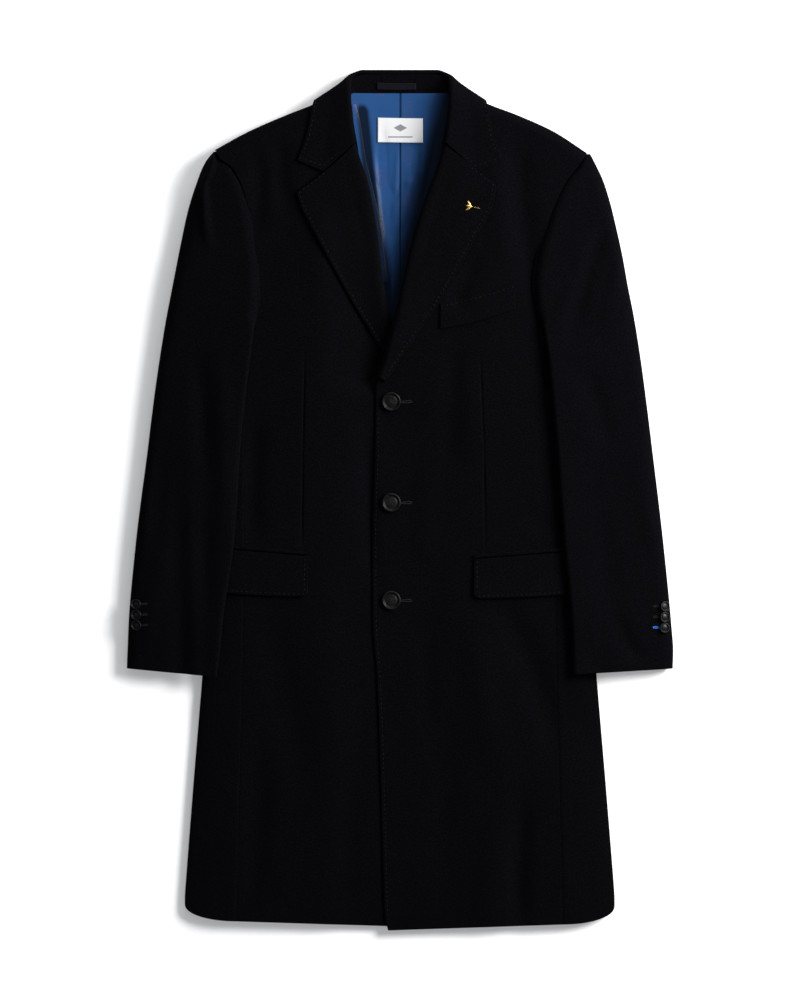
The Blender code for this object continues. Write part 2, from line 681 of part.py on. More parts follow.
def patch_face(name, ground, thickness):
    """A piece lying on a panel: u from start to end, v from its top edge to its lower edge."""
    patch = PATCHES[name]

    def face(u, v):
        x = patch.start_x + (patch.end_x - patch.start_x) * u
        bend = 4 * u * (1 - u)
        top = patch.top_start + (patch.top_end - patch.top_start) * u + patch.top_bow * bend
        low = patch.low_start + (patch.low_end - patch.low_start) * u + patch.low_bow * bend
        if patch.corner:
            left = np.clip(patch.corner - np.abs(x - patch.start_x), 0, patch.corner)
            low = low + patch.corner - np.sqrt(patch.corner**2 - left**2)
        y = top + (low - top) * v
        return stack(LEFT, x, y, ground(x, y) + SEAM_GAP + thickness)

    return face


def on_body(x, y):
    return np.where(x > 0, body_top(LEFT, x, y), body_top(RIGHT, -x, y))


def on_lining(x, y):
    return lining_height(np.abs(x), y) + 0.5


def on_stand(x, y):
    rows = np.array([[row.seam_out, row.seam_z, row.top_z] for row in STAND])
    seam = np.interp(np.abs(x), rows[:, 0], rows[:, 1])
    top = np.interp(np.abs(x), rows[:, 0], rows[:, 2])
    return np.maximum(seam, top) + 0.3


def link(obj, name, finish):
    obj.data.materials.append(material(name, finish))
    bpy.context.scene.collection.objects.link(obj)
    return obj


def wall(name, face, us, vs, thickness, cloth):
    """A closed wall of cloth whose outer face is the surface at the given us and vs. Its free edges and
    seams stop half a seam gap short, and its inner face lies one thickness behind."""
    u, v = np.meshgrid(np.asarray(us, float), np.asarray(vs, float))
    step = 1e-4
    points = face(u, v)
    across = face(u + step, v) - face(u - step, v)
    along = face(u, v + step) - face(u, v - step)
    normal = np.cross(across, along)
    normal /= np.linalg.norm(normal, axis=-1, keepdims=True)
    for border, inner in ((np.s_[:, 0], np.s_[:, 1]), (np.s_[:, -1], np.s_[:, -2]),
                          (np.s_[0], np.s_[1]), (np.s_[-1], np.s_[-2])):
        inward = points[inner] - points[border]
        length = np.linalg.norm(inward, axis=-1, keepdims=True)
        points[border] += inward / length * SEAM_GAP / 2
    middle = normal[normal.shape[0] // 2, normal.shape[1] // 4]
    looks_down = name in ("back_left", "back_right", "collar_leaf") or name.startswith("under")
    facing = 1 if (middle[2] < 0) == looks_down else -1
    return build_wall(name, points, normal * facing, thickness, cloth)


def build_wall(name, points, normal, thickness, cloth):
    rows, columns = points.shape[:2]
    count = rows * columns
    both = np.concatenate([points.reshape(-1, 3), (points - normal * thickness).reshape(-1, 3)]) * MM
    index = np.arange(count).reshape(rows, columns)
    quads = []
    for r in range(rows - 1):
        for c in range(columns - 1):
            quad = [index[r, c], index[r, c + 1], index[r + 1, c + 1], index[r + 1, c]]
            quads.append(quad)
            quads.append([q + count for q in reversed(quad)])
    border = list(index[0, :]) + list(index[1:, -1]) + list(index[-1, -2::-1]) + list(index[-2:0:-1, 0])
    for a, b in zip(border, border[1:] + border[:1]):
        quads.append([a, a + count, b + count, b])
    mesh = bpy.data.meshes.new(name)
    mesh.from_pydata(both.tolist(), [], [[int(i) for i in quad] for quad in quads])
    shaped = bmesh.new()
    shaped.from_mesh(mesh)
    bmesh.ops.recalc_face_normals(shaped, faces=shaped.faces)
    shaped.to_mesh(mesh)
    shaped.free()
    mesh.shade_smooth()
    mesh.set_sharp_from_angle(angle=math.radians(50))
    return link(bpy.data.objects.new(name, mesh), *cloth)


def spaced(count, low=0.0, high=1.0):
    return np.linspace(low, high, count)


def make_body():
    wool = ("wool_melton", WOOL)
    side_columns = (0, 0.17, 0.31, 0.41, 0.5, 0.57, 0.635, 0.7, 1)
    for name, side in SIDES.items():
        front, rows = front_face(side)
        wall(f"front_{name}", front, spaced(7), spaced(rows), MELTON, wool)
        body, rows = side_face(side)
        wall(f"side_{name}", body, side_columns, spaced(rows), MELTON, wool)
        back, rows = back_face(side)
        neck = SHOULDER[side][0].out / SHOULDER[side][-1].out
        columns = np.concatenate([spaced(4, 0, neck), spaced(7, neck, 1)[1:]])
        wall(f"back_{name}", back, columns, spaced(rows), MELTON, wool)


def make_sleeves():
    wool = ("wool_melton", WOOL)
    columns = (0.003, 0.1, 0.2, 0.3, 0.4, 0.5, 0.6, 0.7, 0.8, 0.9, 0.997)
    for name, side in SIDES.items():
        for upper, part in ((True, "top"), (False, "under")):
            face, rows = sleeve_face(side, upper)
            wall(f"{part}_sleeve_{name}", face, columns, spaced(rows), MELTON, wool)


def make_lapels():
    wool = ("wool_melton", WOOL)
    columns = (0, 0.15, 0.3, 0.45, 0.6, 0.6625, 0.725, 0.7875, 0.85, 1)
    for name, side in SIDES.items():
        face, rows = lapel_face(side)
        wall(f"lapel_{name}", face, columns, spaced(rows), FACING, wool)


def make_collar():
    wool = ("wool_melton", WOOL)
    columns = (0, 0.15, 0.3, 0.45, 0.6, 0.6625, 0.725, 0.7875, 0.85, 1)
    wall("collar_leaf", leaf_face(), columns, spaced(4 * len(LEAF) - 3), COLLAR_CLOTH, wool)
    wall("collar_stand", stand_face, spaced(3), spaced(4 * len(STAND) - 3), COLLAR_CLOTH - 0.4, wool)


def make_linings():
    silk = ("lining_silk", LINING_SILK)
    for name, side in SIDES.items():
        back, rows = back_lining_face(side)
        wall(f"back_lining_{name}", back, spaced(6), spaced(rows), LINING, silk)
        front, rows = front_lining_face(side)
        wall(f"front_lining_{name}", front, spaced(4), spaced(rows), LINING, silk)


def make_patches():
    wool = ("wool_melton", WOOL)
    rounded = (0, 0.012, 0.03, 0.06, 0.2, 0.4, 0.6, 0.75, 0.86, 0.93, 1)
    wall("chest_welt", patch_face("chest_welt", on_body, PATCH_CLOTH["welt"]), spaced(8), spaced(3),
         PATCH_CLOTH["welt"], wool)
    for name in SIDES:
        wall(f"flap_{name}", patch_face(f"flap_{name}", on_body, PATCH_CLOTH["flap"]), rounded,
             spaced(4), PATCH_CLOTH["flap"], wool)
        wall(f"jetting_{name}", patch_face(f"jetting_{name}", on_body, PATCH_CLOTH["jetting"]),
             rounded, spaced(2), PATCH_CLOTH["jetting"], wool)
    wall("neck_label", patch_face("neck_label", on_lining, PATCH_CLOTH["label"]), spaced(6), spaced(4),
         PATCH_CLOTH["label"], ("label_weave", LABEL_WEAVE))
    wall("hanger_loop", patch_face("hanger_loop", on_stand, PATCH_CLOTH["loop"]), spaced(6), spaced(3),
         PATCH_CLOTH["loop"], ("loop_satin", LOOP_SATIN))


def turned(name, profile, sides):
    """A solid turned about Z from a profile of (radius, height) that starts and ends on the axis."""
    shaped = bmesh.new()
    points = [shaped.verts.new((radius * MM, 0, height * MM)) for radius, height in profile]
    edges = [shaped.edges.new(pair) for pair in zip(points, points[1:])]
    bmesh.ops.spin(shaped, geom=points + edges, cent=(0, 0, 0), axis=(0, 0, 1), angle=2 * math.pi,
                   steps=sides, use_merge=True)
    bmesh.ops.remove_doubles(shaped, verts=shaped.verts, dist=1e-6)
    bmesh.ops.recalc_face_normals(shaped, faces=shaped.faces)
    mesh = bpy.data.meshes.new(name)
    shaped.to_mesh(mesh)
    shaped.free()
    mesh.shade_smooth()
    mesh.set_sharp_from_angle(angle=math.radians(40))
    return mesh


def button_mesh(name, spec):
    """One button at the origin, with its sewing holes cut through."""
    r, rim, dish, edge = spec.radius, spec.rim_height, spec.dish_height, spec.edge_height
    profile = ((0, dish), (0.5 * r, dish), (0.66 * r, rim), (0.84 * r, rim), (r, edge), (0.86 * r, 0), (0, 0))
    body = bpy.data.objects.new(name, turned(name, profile, spec.sides))
    bpy.context.scene.collection.objects.link(body)
    hole = spec.hole_radius
    needle = turned(f"{name}_hole", ((0, 2 * rim), (hole, 2 * rim), (hole, -rim), (0, -rim)), 8)
    cutters = []
    for quarter in range(4):
        turn = math.radians(45 + 90 * quarter)
        cutter = bpy.data.objects.new(f"{name}_hole_{quarter}", needle)
        cutter.location = Vector((math.cos(turn), math.sin(turn), 0)) * spec.hole_spread * MM
        bpy.context.scene.collection.objects.link(cutter)
        cut = body.modifiers.new(f"hole_{quarter}", "BOOLEAN")
        cut.operation = "DIFFERENCE"
        cut.solver = "EXACT"
        cut.object = cutter
        cutters.append(cutter)
    bpy.context.view_layer.update()
    graph = bpy.context.evaluated_depsgraph_get()
    cut_mesh = bpy.data.meshes.new_from_object(body.evaluated_get(graph))
    for helper in [body] + cutters:
        bpy.data.objects.remove(helper)
    return cut_mesh


def place_button(name, mesh, base, up, turn):
    obj = bpy.data.objects.new(name, mesh)
    tilt = Vector((0, 0, 1)).rotation_difference(Vector(up)).to_matrix().to_4x4()
    obj.matrix_world = Matrix.Translation(Vector(base) * MM) @ tilt @ Matrix.Rotation(turn, 4, "Z")
    return link(obj, "horn_button", HORN)


def seat(points, place, radius):
    """Where a button rests on the surface through these points, and the way that it faces: the plane that
    fits the points under it, raised clear of the highest one."""
    near = points[np.hypot(points[:, 0] - place[0], points[:, 1] - place[1]) < radius]
    sloped = np.column_stack([near[:, :2] - place, np.ones(len(near))])
    slope_x, slope_y, height = np.linalg.lstsq(sloped, near[:, 2], rcond=None)[0]
    up = np.array([-slope_x, -slope_y, 1])
    up /= np.linalg.norm(up)
    middle = np.array([place[0], place[1], height])
    return middle + up * (np.max((near - middle) @ up) + BUTTON_CLEARANCE), up


def make_buttons():
    front = button_mesh("front_button", FRONT_BUTTON)
    reach = np.linspace(-FRONT_BUTTON.radius, FRONT_BUTTON.radius, 9)
    for number, y in enumerate(FRONT_BUTTON_Y, 1):
        xs, ys = np.meshgrid(FRONT_BUTTON_X + reach, y + reach)
        points = stack(LEFT, xs, ys, front_height(LEFT, xs, ys)).reshape(-1, 3)
        base, up = seat(points, (FRONT_BUTTON_X, y), FRONT_BUTTON.radius)
        place_button(f"front_button_{number}", front.copy(), base, up, math.radians(FRONT_BUTTON_TURN))
    cuff = button_mesh("cuff_button", CUFF_BUTTON)
    us, vs = np.meshgrid(np.linspace(0.01, 0.4, 90), np.linspace(0.68, 1, 110))
    for name, side in SIDES.items():
        points = sleeve_face(side, True)[0](us, vs).reshape(-1, 3)
        for number in range(3):
            place = (side * CUFF_BUTTON_OUT[side], CUFF_BUTTON_TOP_Y[side] - CUFF_BUTTON_PITCH * number)
            base, up = seat(points, place, CUFF_BUTTON.radius)
            place_button(f"cuff_button_{name}_{number + 1}", cuff.copy(), base, up, 0)


def make_pin():
    """A small leaf-shaped lapel pin with a stem, lying on the left lapel."""
    stations = 9
    outline = []
    for k in range(stations):
        t = k / (stations - 1)
        half = PIN_WIDTH / 2 * math.sin(math.pi * t) ** 0.8 + 0.5
        outline.append((PIN_LENGTH * (t - 0.5), half))
    outline += [(x, -half) for x, half in reversed(outline)]
    shaped = bmesh.new()
    ring = [shaped.verts.new((x * MM, y * MM, 0)) for x, y in outline]
    base = shaped.faces.new(ring)
    raised = bmesh.ops.extrude_face_region(shaped, geom=[base])
    moved = [item for item in raised["geom"] if isinstance(item, bmesh.types.BMVert)]
    bmesh.ops.translate(shaped, verts=moved, vec=(0, 0, PIN_THICKNESS * MM))
    bmesh.ops.recalc_face_normals(shaped, faces=shaped.faces)
    mesh = bpy.data.meshes.new("lapel_pin")
    shaped.to_mesh(mesh)
    shaped.free()
    obj = bpy.data.objects.new("lapel_pin", mesh)
    obj.rotation_euler = (0, 0, math.radians(PIN_TILT))
    ground = front_height(LEFT, PIN_CENTRE.x, PIN_CENTRE.y) + LAPEL_LIFT + LAPEL_CROWN
    obj.location = Vector((PIN_CENTRE.x, PIN_CENTRE.y, ground + 0.8)) * MM
    link(obj, "gilt_pin", GILT)


def main():
    clear_scene()
    make_body()
    make_sleeves()
    make_lapels()
    make_collar()
    make_linings()
    make_patches()
    make_buttons()
    make_pin()


main()
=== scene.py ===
"""Dark navy wool overcoat, laid flat on its back and buttoned, as an add-on laid out for one scene.

The cloth pieces are thin shells on the CAD solids' own surfaces, sampled finely, with creases pressed into
them. Tables are in millimetres in the coat's frame: "out" is the distance from the centre line towards
that side's sleeve, and left and right are the wearer's.
"""

import math
from collections import namedtuple

import bmesh
import bpy
import numpy as np
from bpy.props import FloatProperty, FloatVectorProperty, PointerProperty
from mathutils import Matrix, Vector


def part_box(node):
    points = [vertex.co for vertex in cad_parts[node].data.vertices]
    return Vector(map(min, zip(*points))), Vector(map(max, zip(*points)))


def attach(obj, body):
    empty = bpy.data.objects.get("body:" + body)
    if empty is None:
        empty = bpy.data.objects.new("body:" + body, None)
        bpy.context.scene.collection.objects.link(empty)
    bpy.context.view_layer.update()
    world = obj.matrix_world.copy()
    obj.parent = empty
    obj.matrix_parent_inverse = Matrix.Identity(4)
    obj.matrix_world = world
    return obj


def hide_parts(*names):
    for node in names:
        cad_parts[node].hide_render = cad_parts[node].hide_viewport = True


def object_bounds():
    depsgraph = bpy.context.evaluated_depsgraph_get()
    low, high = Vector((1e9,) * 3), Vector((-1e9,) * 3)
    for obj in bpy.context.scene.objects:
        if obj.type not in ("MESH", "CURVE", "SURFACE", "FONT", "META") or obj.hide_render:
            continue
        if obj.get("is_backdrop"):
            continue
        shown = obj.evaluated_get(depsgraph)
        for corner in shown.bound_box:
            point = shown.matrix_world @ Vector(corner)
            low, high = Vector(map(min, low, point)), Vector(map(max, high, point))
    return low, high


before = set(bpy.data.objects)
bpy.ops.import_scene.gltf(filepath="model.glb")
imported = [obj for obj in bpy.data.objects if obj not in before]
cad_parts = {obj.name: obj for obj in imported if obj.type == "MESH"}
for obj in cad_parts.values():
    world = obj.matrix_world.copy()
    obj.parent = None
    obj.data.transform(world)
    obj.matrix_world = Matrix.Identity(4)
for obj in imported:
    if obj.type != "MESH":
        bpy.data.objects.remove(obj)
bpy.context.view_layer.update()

bl_info = {
    "name": "Navy wool overcoat",
    "version": (1, 0, 0),
    "blender": (4, 5, 0),
    "location": "View3D > Sidebar > Overcoat",
    "description": "Builds a wool overcoat laid flat, with its lining, buttons and stitching",
    "category": "Object",
}

MM = 0.001
SEAM_GAP = 0.3
MELTON = 2.2
FACING = 3.0
COLLAR_CLOTH = 2.6
LINING = 1.0
LEFT, RIGHT = 1, -1
SIDES = {"left": LEFT, "right": RIGHT}

# Length and fullness of the laid coat: height of the fronts' outer face above the table, at the front
# edge, over the chest and near the side seam.
Loft = namedtuple("Loft", "y centre chest side")
LOFT = (
    Loft(-545, 10.5, 12.0, 12.5),
    Loft(-350, 11.0, 13.5, 14.0),
    Loft(-120, 11.5, 16.0, 15.5),
    Loft(50, 12.0, 18.0, 17.0),
    Loft(98, 13.0, 20.0, 18.5),
    Loft(161, 20.4, 22.8, 20.4),
    Loft(190, 22.5, 24.5, 21.5),
    Loft(250, 24.0, 27.0, 24.0),
    Loft(350, 25.0, 29.0, 27.0),
    Loft(440, 27.0, 29.0, 28.0),
    Loft(520, 27.0, 27.0, 27.0),
)
CHEST_OUT = 110
SIDE_OUT = 190
FRONT_OVERLAP = 2.7
LAPEL_CROSSING = 11.8
SIDE_ROLL = 5.5

# The shoulder line, from the neck point to the sleeve head.
Point = namedtuple("Point", "out y")
SHOULDER = {
    LEFT: (Point(70, 518), Point(109, 501), Point(150, 485.5), Point(194, 465.5), Point(236.5, 438)),
    RIGHT: (Point(70, 517.5), Point(109, 499.8), Point(149, 484), Point(191, 465.5), Point(234, 442)),
}
SHOULDER_SEAM_TURN = 40
COLLAR_UNDER_BACK = 3.2

# The front panel: its edge (the line under the lapel's roll, then the front edge) and its outer seam
# (armhole, then side seam), from the shoulder to the hem.
Front = namedtuple("Front", "edge_out edge_y seam_out seam_y")
FRONT = {
    LEFT: (
        Front(68, 484, 211, 404),
        Front(61, 446, 196, 374),
        Front(48, 403, 184.5, 341),
        Front(35, 362, 174.5, 306),
        Front(22, 320, 170, 270),
        Front(10, 272, 171.5, 240),
        Front(1, 225, 181, 219),
        Front(-13, 180, 188, 172),
        Front(-22.5, 161, 190.2, 146),
        Front(-30.3, 143, 192.5, 120),
        Front(-31, 100, 194.5, 90),
        Front(-31.8, 59, 196.5, 59),
        Front(-34.9, -48, 195.7, -50),
        Front(-34.3, -153, 197, -150),
        Front(-29.2, -225, 198.5, -225),
        Front(-24.1, -368, 202, -368),
        Front(-19.4, -525, 205.5, -520),
        Front(-15.2, -544.2, 206, -536.5),
    ),
    RIGHT: (
        Front(68, 485, 212, 420),
        Front(62, 447, 199.5, 395),
        Front(50.5, 404, 190.5, 363),
        Front(42, 362, 184.5, 325),
        Front(35, 320, 181, 288),
        Front(28.5, 272, 180, 250),
        Front(19, 225, 187, 221),
        Front(5, 180, 191.5, 172),
        Front(-2.5, 161, 193, 146),
        Front(-9.5, 143, 194.5, 120),
        Front(-11, 100, 196, 90),
        Front(-12, 59, 197.5, 59),
        Front(-13, -48, 197, -50),
        Front(-12, -153, 198, -150),
        Front(-8, -225, 199.5, -225),
        Front(-3, -368, 203, -368),
        Front(0, -525, 206.5, -518),
        Front(0, -539.4, 207, -532.5),
    ),
}
FIRST_SIDE_ROW = 6

# The side body: its fold at the body's side and its seam on the back, beside the front's last rows.
Side = namedtuple("Side", "fold_out fold_y back_out back_y")
SIDE = {
    LEFT: (
        Side(246, 214, 172, 219),
        Side(240, 172, 172, 172),
        Side(238, 146, 172, 146),
        Side(236, 120, 172, 120),
        Side(234.7, 90, 172.5, 90),
        Side(233.5, 59, 173, 59),
        Side(236.5, -50, 176, -50),
        Side(243, -150, 180, -150),
        Side(248.9, -225, 184, -225),
        Side(261, -368, 191, -368),
        Side(271.5, -503, 198, -517),
        Side(271.5, -514.5, 199, -533),
    ),
    RIGHT: (
        Side(246, 216, 172, 221),
        Side(241, 172, 172, 172),
        Side(239, 146, 172, 146),
        Side(237, 120, 172, 120),
        Side(236, 90, 172.5, 90),
        Side(235, 59, 173, 59),
        Side(238, -50, 176, -50),
        Side(244.5, -150, 180, -150),
        Side(250.2, -225, 184, -225),
        Side(262, -368, 191, -368),
        Side(272.2, -503, 198, -515),
        Side(272.2, -512, 199, -531),
    ),
}

# The sleeve: its outer fold, its inner edge above and below (both armhole seams, then one inner fold),
# and the height of its top near the outer and the inner edge.
Sleeve = namedtuple("Sleeve", "fold_out fold_y top_out top_y under_out under_y fold_high inner_high")
SLEEVE = {
    LEFT: (
        Sleeve(240.5, 437.5, 233.5, 436.8, 234, 434, 16, 18),
        Sleeve(248.5, 421.5, 227, 423, 229, 420, 21, 24.5),
        Sleeve(255.8, 406, 211, 404, 222, 406, 24.5, 28),
        Sleeve(265.5, 376, 196, 374, 213, 376, 26, 31),
        Sleeve(274, 341, 184.5, 341, 207, 341, 26.5, 32),
        Sleeve(281.6, 306, 174.5, 306, 203, 306, 26, 33),
        Sleeve(288, 270, 170, 270, 198, 270, 25.5, 34),
        Sleeve(293.5, 243, 171.5, 240, 190, 242, 25, 34.5),
        Sleeve(297, 224, 178.5, 225, 178.5, 225, 24, 35),
        Sleeve(304.5, 176, 187, 176, 187, 176, 23, 34.5),
        Sleeve(312, 120, 192.5, 120, 192.5, 120, 22, 33),
        Sleeve(319.5, 59, 198, 59, 198, 59, 21, 31),
        Sleeve(332.5, -50, 206.5, -50, 206.5, -50, 19.5, 29.5),
        Sleeve(342.5, -150, 216, -150, 216, -150, 18, 28),
        Sleeve(345.5, -190, 218.3, -192, 218.3, -192, 17, 27),
        Sleeve(344.9, -213.2, 218.8, -220.5, 218.8, -220.5, 16.5, 26.5),
    ),
    RIGHT: (
        Sleeve(235.5, 440, 231.5, 440.2, 232.5, 439.5, 16, 18),
        Sleeve(242.5, 432, 225.2, 431, 227.5, 431, 21, 24),
        Sleeve(248.5, 422, 212, 420, 222, 422, 24, 28),
        Sleeve(258.5, 396, 199.5, 395, 213, 396, 26, 31),
        Sleeve(268.5, 363, 190.5, 363, 208, 363, 26.5, 32),
        Sleeve(276.7, 325, 184.5, 325, 204, 325, 26, 33),
        Sleeve(284, 288, 181, 288, 200, 288, 25.5, 34),
        Sleeve(291, 252, 180, 250, 193, 251, 25, 34.5),
        Sleeve(296, 226, 183, 228, 183, 228, 24, 35),
        Sleeve(303.8, 178, 189, 178, 189, 178, 23, 34.5),
        Sleeve(312, 120, 196.5, 120, 196.5, 120, 22, 33),
        Sleeve(319.5, 59, 202, 59, 202, 59, 21, 31),
        Sleeve(333.5, -50, 209.3, -50, 209.3, -50, 19.5, 29.5),
        Sleeve(342.8, -150, 223.5, -150, 223.5, -150, 18, 28),
        Sleeve(344.5, -190, 227.5, -192, 227.5, -192, 17, 27),
        Sleeve(345.4, -212.9, 231.5, -223.5, 231.5, -223.5, 16.5, 26.5),
    ),
}
ARMHOLE_ROWS = 8
SLEEVE_TOP_ROLL = 15
SLEEVE_UNDER_ROLL = 7
ARMHOLE_TURN = 52
SLEEVE_CLEARANCE = 4.4

# Long soft troughs pressed into the top sleeves: start, end, depth at the end and half width.
Trough = namedtuple("Trough", "side start_out start_y end_out end_y depth width")
TROUGHS = (
    Trough(RIGHT, 283, 150, 275, -240, 6.0, 10),
    Trough(RIGHT, 256, 230, 246, 10, 2.0, 9),
    Trough(LEFT, 300, 110, 252, -30, 2.2, 13),
)

# The turned-out lapel: its outer edge and its rolled edge, from the gorge seam to the break.
Lapel = namedtuple("Lapel", "edge_out edge_y roll_out roll_y")
LAPEL = {
    LEFT: (
        Lapel(120.7, 396.8, 54.8, 449.3),
        Lapel(119, 381, 47.5, 425),
        Lapel(114.5, 364.5, 40.6, 405.8),
        Lapel(97.3, 333.4, 28, 372),
        Lapel(74.2, 291.5, 15.2, 329.6),
        Lapel(51.6, 252.1, 4.5, 284),
        Lapel(29, 219, -4.5, 243),
        Lapel(7.5, 187, -14, 205),
        Lapel(-10, 161, -22.5, 174),
        Lapel(-18, 149, -29.6, 156),
    ),
    RIGHT: (
        Lapel(130.8, 387.8, 55.9, 449.4),
        Lapel(126, 372, 49, 427),
        Lapel(118, 355, 42, 407),
        Lapel(104.1, 329.6, 34, 372),
        Lapel(84, 293, 27.5, 330),
        Lapel(63.5, 255.9, 22.5, 286),
        Lapel(42.5, 221, 15, 245),
        Lapel(21.6, 187.3, 5.5, 208),
        Lapel(7, 168, -2.5, 180),
        Lapel(2.5, 158.5, -8.3, 167),
    ),
}
LAPEL_TOP_BOW = {LEFT: 0.0, RIGHT: -3.0}
LAPEL_LIFT = 3.8
LAPEL_CROWN = 4.2
LAPEL_HOOK = 8.0
HOOK_GAP = 0.5

# The collar leaf, from its front end round to the centre back: rolled edge, a line across the middle,
# outer edge, and how far its face has turned from facing up (0) to facing the table (180).
Leaf = namedtuple("Leaf", "roll_out roll_y roll_z mid_out mid_y mid_z edge_out edge_y edge_z turn roll")
LEAF = (
    Leaf(55, 449.5, 33.5, 97.5, 413.6, 32.5, 129.8, 427.8, 32, 0, 4.6),
    Leaf(59.7, 479, 33.5, 91, 468, 32.5, 117.3, 463, 32, 0, 4.6),
    Leaf(61.3, 503, 31.5, 88, 492, 31.8, 112.4, 489, 31.0, 12, 4.6),
    Leaf(62, 519, 27, 87, 507, 27.6, 110.5, 499.5, 26, 48, 4.4),
    Leaf(62, 531, 19, 85, 520.5, 17, 108.5, 505, 15.5, 90, 4.2),
    Leaf(57, 540, 10.5, 79, 517, 5.5, 101, 497, 4.5, 148, 4.0),
    Leaf(46, 544.2, 4.4, 56, 513, 0, 70, 489, 0, 180, 3.9),
    Leaf(0, 544.2, 3.9, 0, 516, 0, 0, 490, 0, 180, 3.9),
)
LEAF_RETURN = 2.0

# The collar stand: its seam to the neck and its upper line under the fold.
Stand = namedtuple("Stand", "seam_out seam_y seam_z top_out top_y top_z")
STAND = (
    Stand(0, 513.6, 7.4, 0, 538.2, 7.8),
    Stand(30, 513.6, 7.6, 30, 538.2, 7.8),
    Stand(44, 513.4, 8.6, 45, 538, 8.2),
    Stand(56, 513, 10.0, 58, 535, 9.5),
    Stand(65, 512.5, 13.0, 67, 528, 13.5),
)

# The linings that show in the neck: the back halves, and the strips inside each front.
BackLining = namedtuple("BackLining", "y out")
BACK_LINING = (
    BackLining(514.2, 62),
    BackLining(500, 62.5),
    BackLining(484, 62),
    BackLining(466, 59),
    BackLining(448, 53.5),
    BackLining(430, 52),
    BackLining(380, 54),
    BackLining(320, 42),
    BackLining(260, 30),
    BackLining(212, 20),
)
LINING_ABOVE_BACK = 1.1
LINING_SIDE_RISE = 4.0
FrontLining = namedtuple("FrontLining", "y hidden_out hidden_z shown_out shown_z")
FRONT_LINING = {
    LEFT: (
        FrontLining(500, 61, 17, 54, 13.5),
        FrontLining(478, 59, 16, 48, 12.5),
        FrontLining(434, 51.5, 15, 40, 12),
        FrontLining(389, 49, 17.5, 29.5, 11),
        FrontLining(345, 36, 16, 18.5, 10),
        FrontLining(300, 24, 14, 8.5, 9),
        FrontLining(262, 15, 12, 3.5, 8),
    ),
    RIGHT: (
        FrontLining(500, 61, 16, 55, 13.5),
        FrontLining(478, 59, 14, 50, 12.5),
        FrontLining(434, 52, 13, 43.5, 12),
        FrontLining(389, 49, 12, 33, 10.5),
        FrontLining(345, 42, 11, 24, 9.5),
        FrontLining(305, 36, 9.4, 19, 8.2),
        FrontLining(275, 32, 7.6, 14, 7.0),
    ),
}

# Pieces sewn flat on another: corners of their outline, seen from above.
Patch = namedtuple("Patch", "start_x end_x top_start top_end low_start low_end top_bow low_bow corner")
PATCHES = {
    "chest_welt": Patch(50.5, 145, 247.6, 273.2, 216, 241, -1.5, -3.0, 0),
    "flap_left": Patch(93.3, 221, -75.4, -65.4, -124.5, -118.3, 0, -1.5, 8),
    "flap_right": Patch(-117, -226, -71.4, -61.8, -122.5, -117.5, 0, -0.8, 8),
    "jetting_left": Patch(93.6, 221, -69.2, -59, -73.4, -63.3, 0, 0, 0),
    "jetting_right": Patch(-115.4, -226, -65.4, -55.8, -69.4, -59.8, 0, 0, 0),
    "neck_label": Patch(-28.2, 29.0, 483.4, 482.4, 452.1, 451.4, 0, 0, 0),
    "hanger_loop": Patch(-29.2, 20.3, 527.6, 527.0, 518.9, 518.6, -0.4, -0.6, 0),
}
PATCH_CLOTH = {"welt": 1.8, "flap": 2.4, "jetting": 1.2, "label": 0.8, "loop": 0.9}
# How far a patch stands off its panel at its lower edge, and all over.
PATCH_STAND = {"chest_welt": (0.9, 0.3), "flap_left": (1.7, 0.0), "flap_right": (1.9, 0.0),
               "jetting_left": (0.0, 2.1), "jetting_right": (0.0, 2.1), "neck_label": (0.3, 0.0),
               "hanger_loop": (0.4, 0.0)}


# Soft creases pressed into the cloth: a line, the lift along it (below zero for a trough), its half
# width and how far it bows sideways. Those of the body are in x and y, and those of a sleeve in out and y.
Crease = namedtuple("Crease", "start_x start_y end_x end_y lift width bow")
BODY_CREASES = (
    Crease(101, 305, 66, 236, -2.0, 13, 4),
    Crease(66, 214, 58, 30, -1.3, 16, -5),
    Crease(88, 190, 86, 60, 0.6, 14, 2),
    Crease(150, 468, 168, 262, -2.8, 17, 6),
    Crease(120, 440, 128, 300, 1.4, 18, -5),
    Crease(127, -128, 205, -335, -2.6, 19, -7),
    Crease(92, -150, 128, -340, 1.6, 22, 6),
    Crease(158, -372, 149, -548, -2.8, 13, 3),
    Crease(118, -400, 108, -552, 1.3, 17, -3),
    Crease(62, -250, 56, -500, -1.2, 20, 4),
    Crease(36, 60, 30, -80, 0.8, 15, 0),
    Crease(40, -140, 34, -300, -0.9, 14, 3),
    Crease(-178, 440, -184, 330, -2.0, 12, -3),
    Crease(-150, 455, -142, 360, -1.6, 12, 4),
    Crease(-118, 380, -98, 250, 1.2, 20, -5),
    Crease(-182, 110, -186, -60, -2.4, 14, 3),
    Crease(-64, 130, -70, -60, 0.9, 18, 4),
    Crease(-40, 96, -34, -110, -1.8, 9, 2),
    Crease(-160, -130, -120, -360, -1.5, 22, 8),
    Crease(-92, -170, -84, -420, 1.2, 24, -5),
    Crease(-178, -300, -190, -520, -1.8, 15, -4),
    Crease(-60, -330, -66, -545, -1.3, 15, 3),
    Crease(232, -260, 262, -500, -1.4, 11, 3),
    Crease(-234, -250, -258, -505, -1.6, 12, -4),
    Crease(150, -8, 196, -36, -0.9, 13, 2),
)
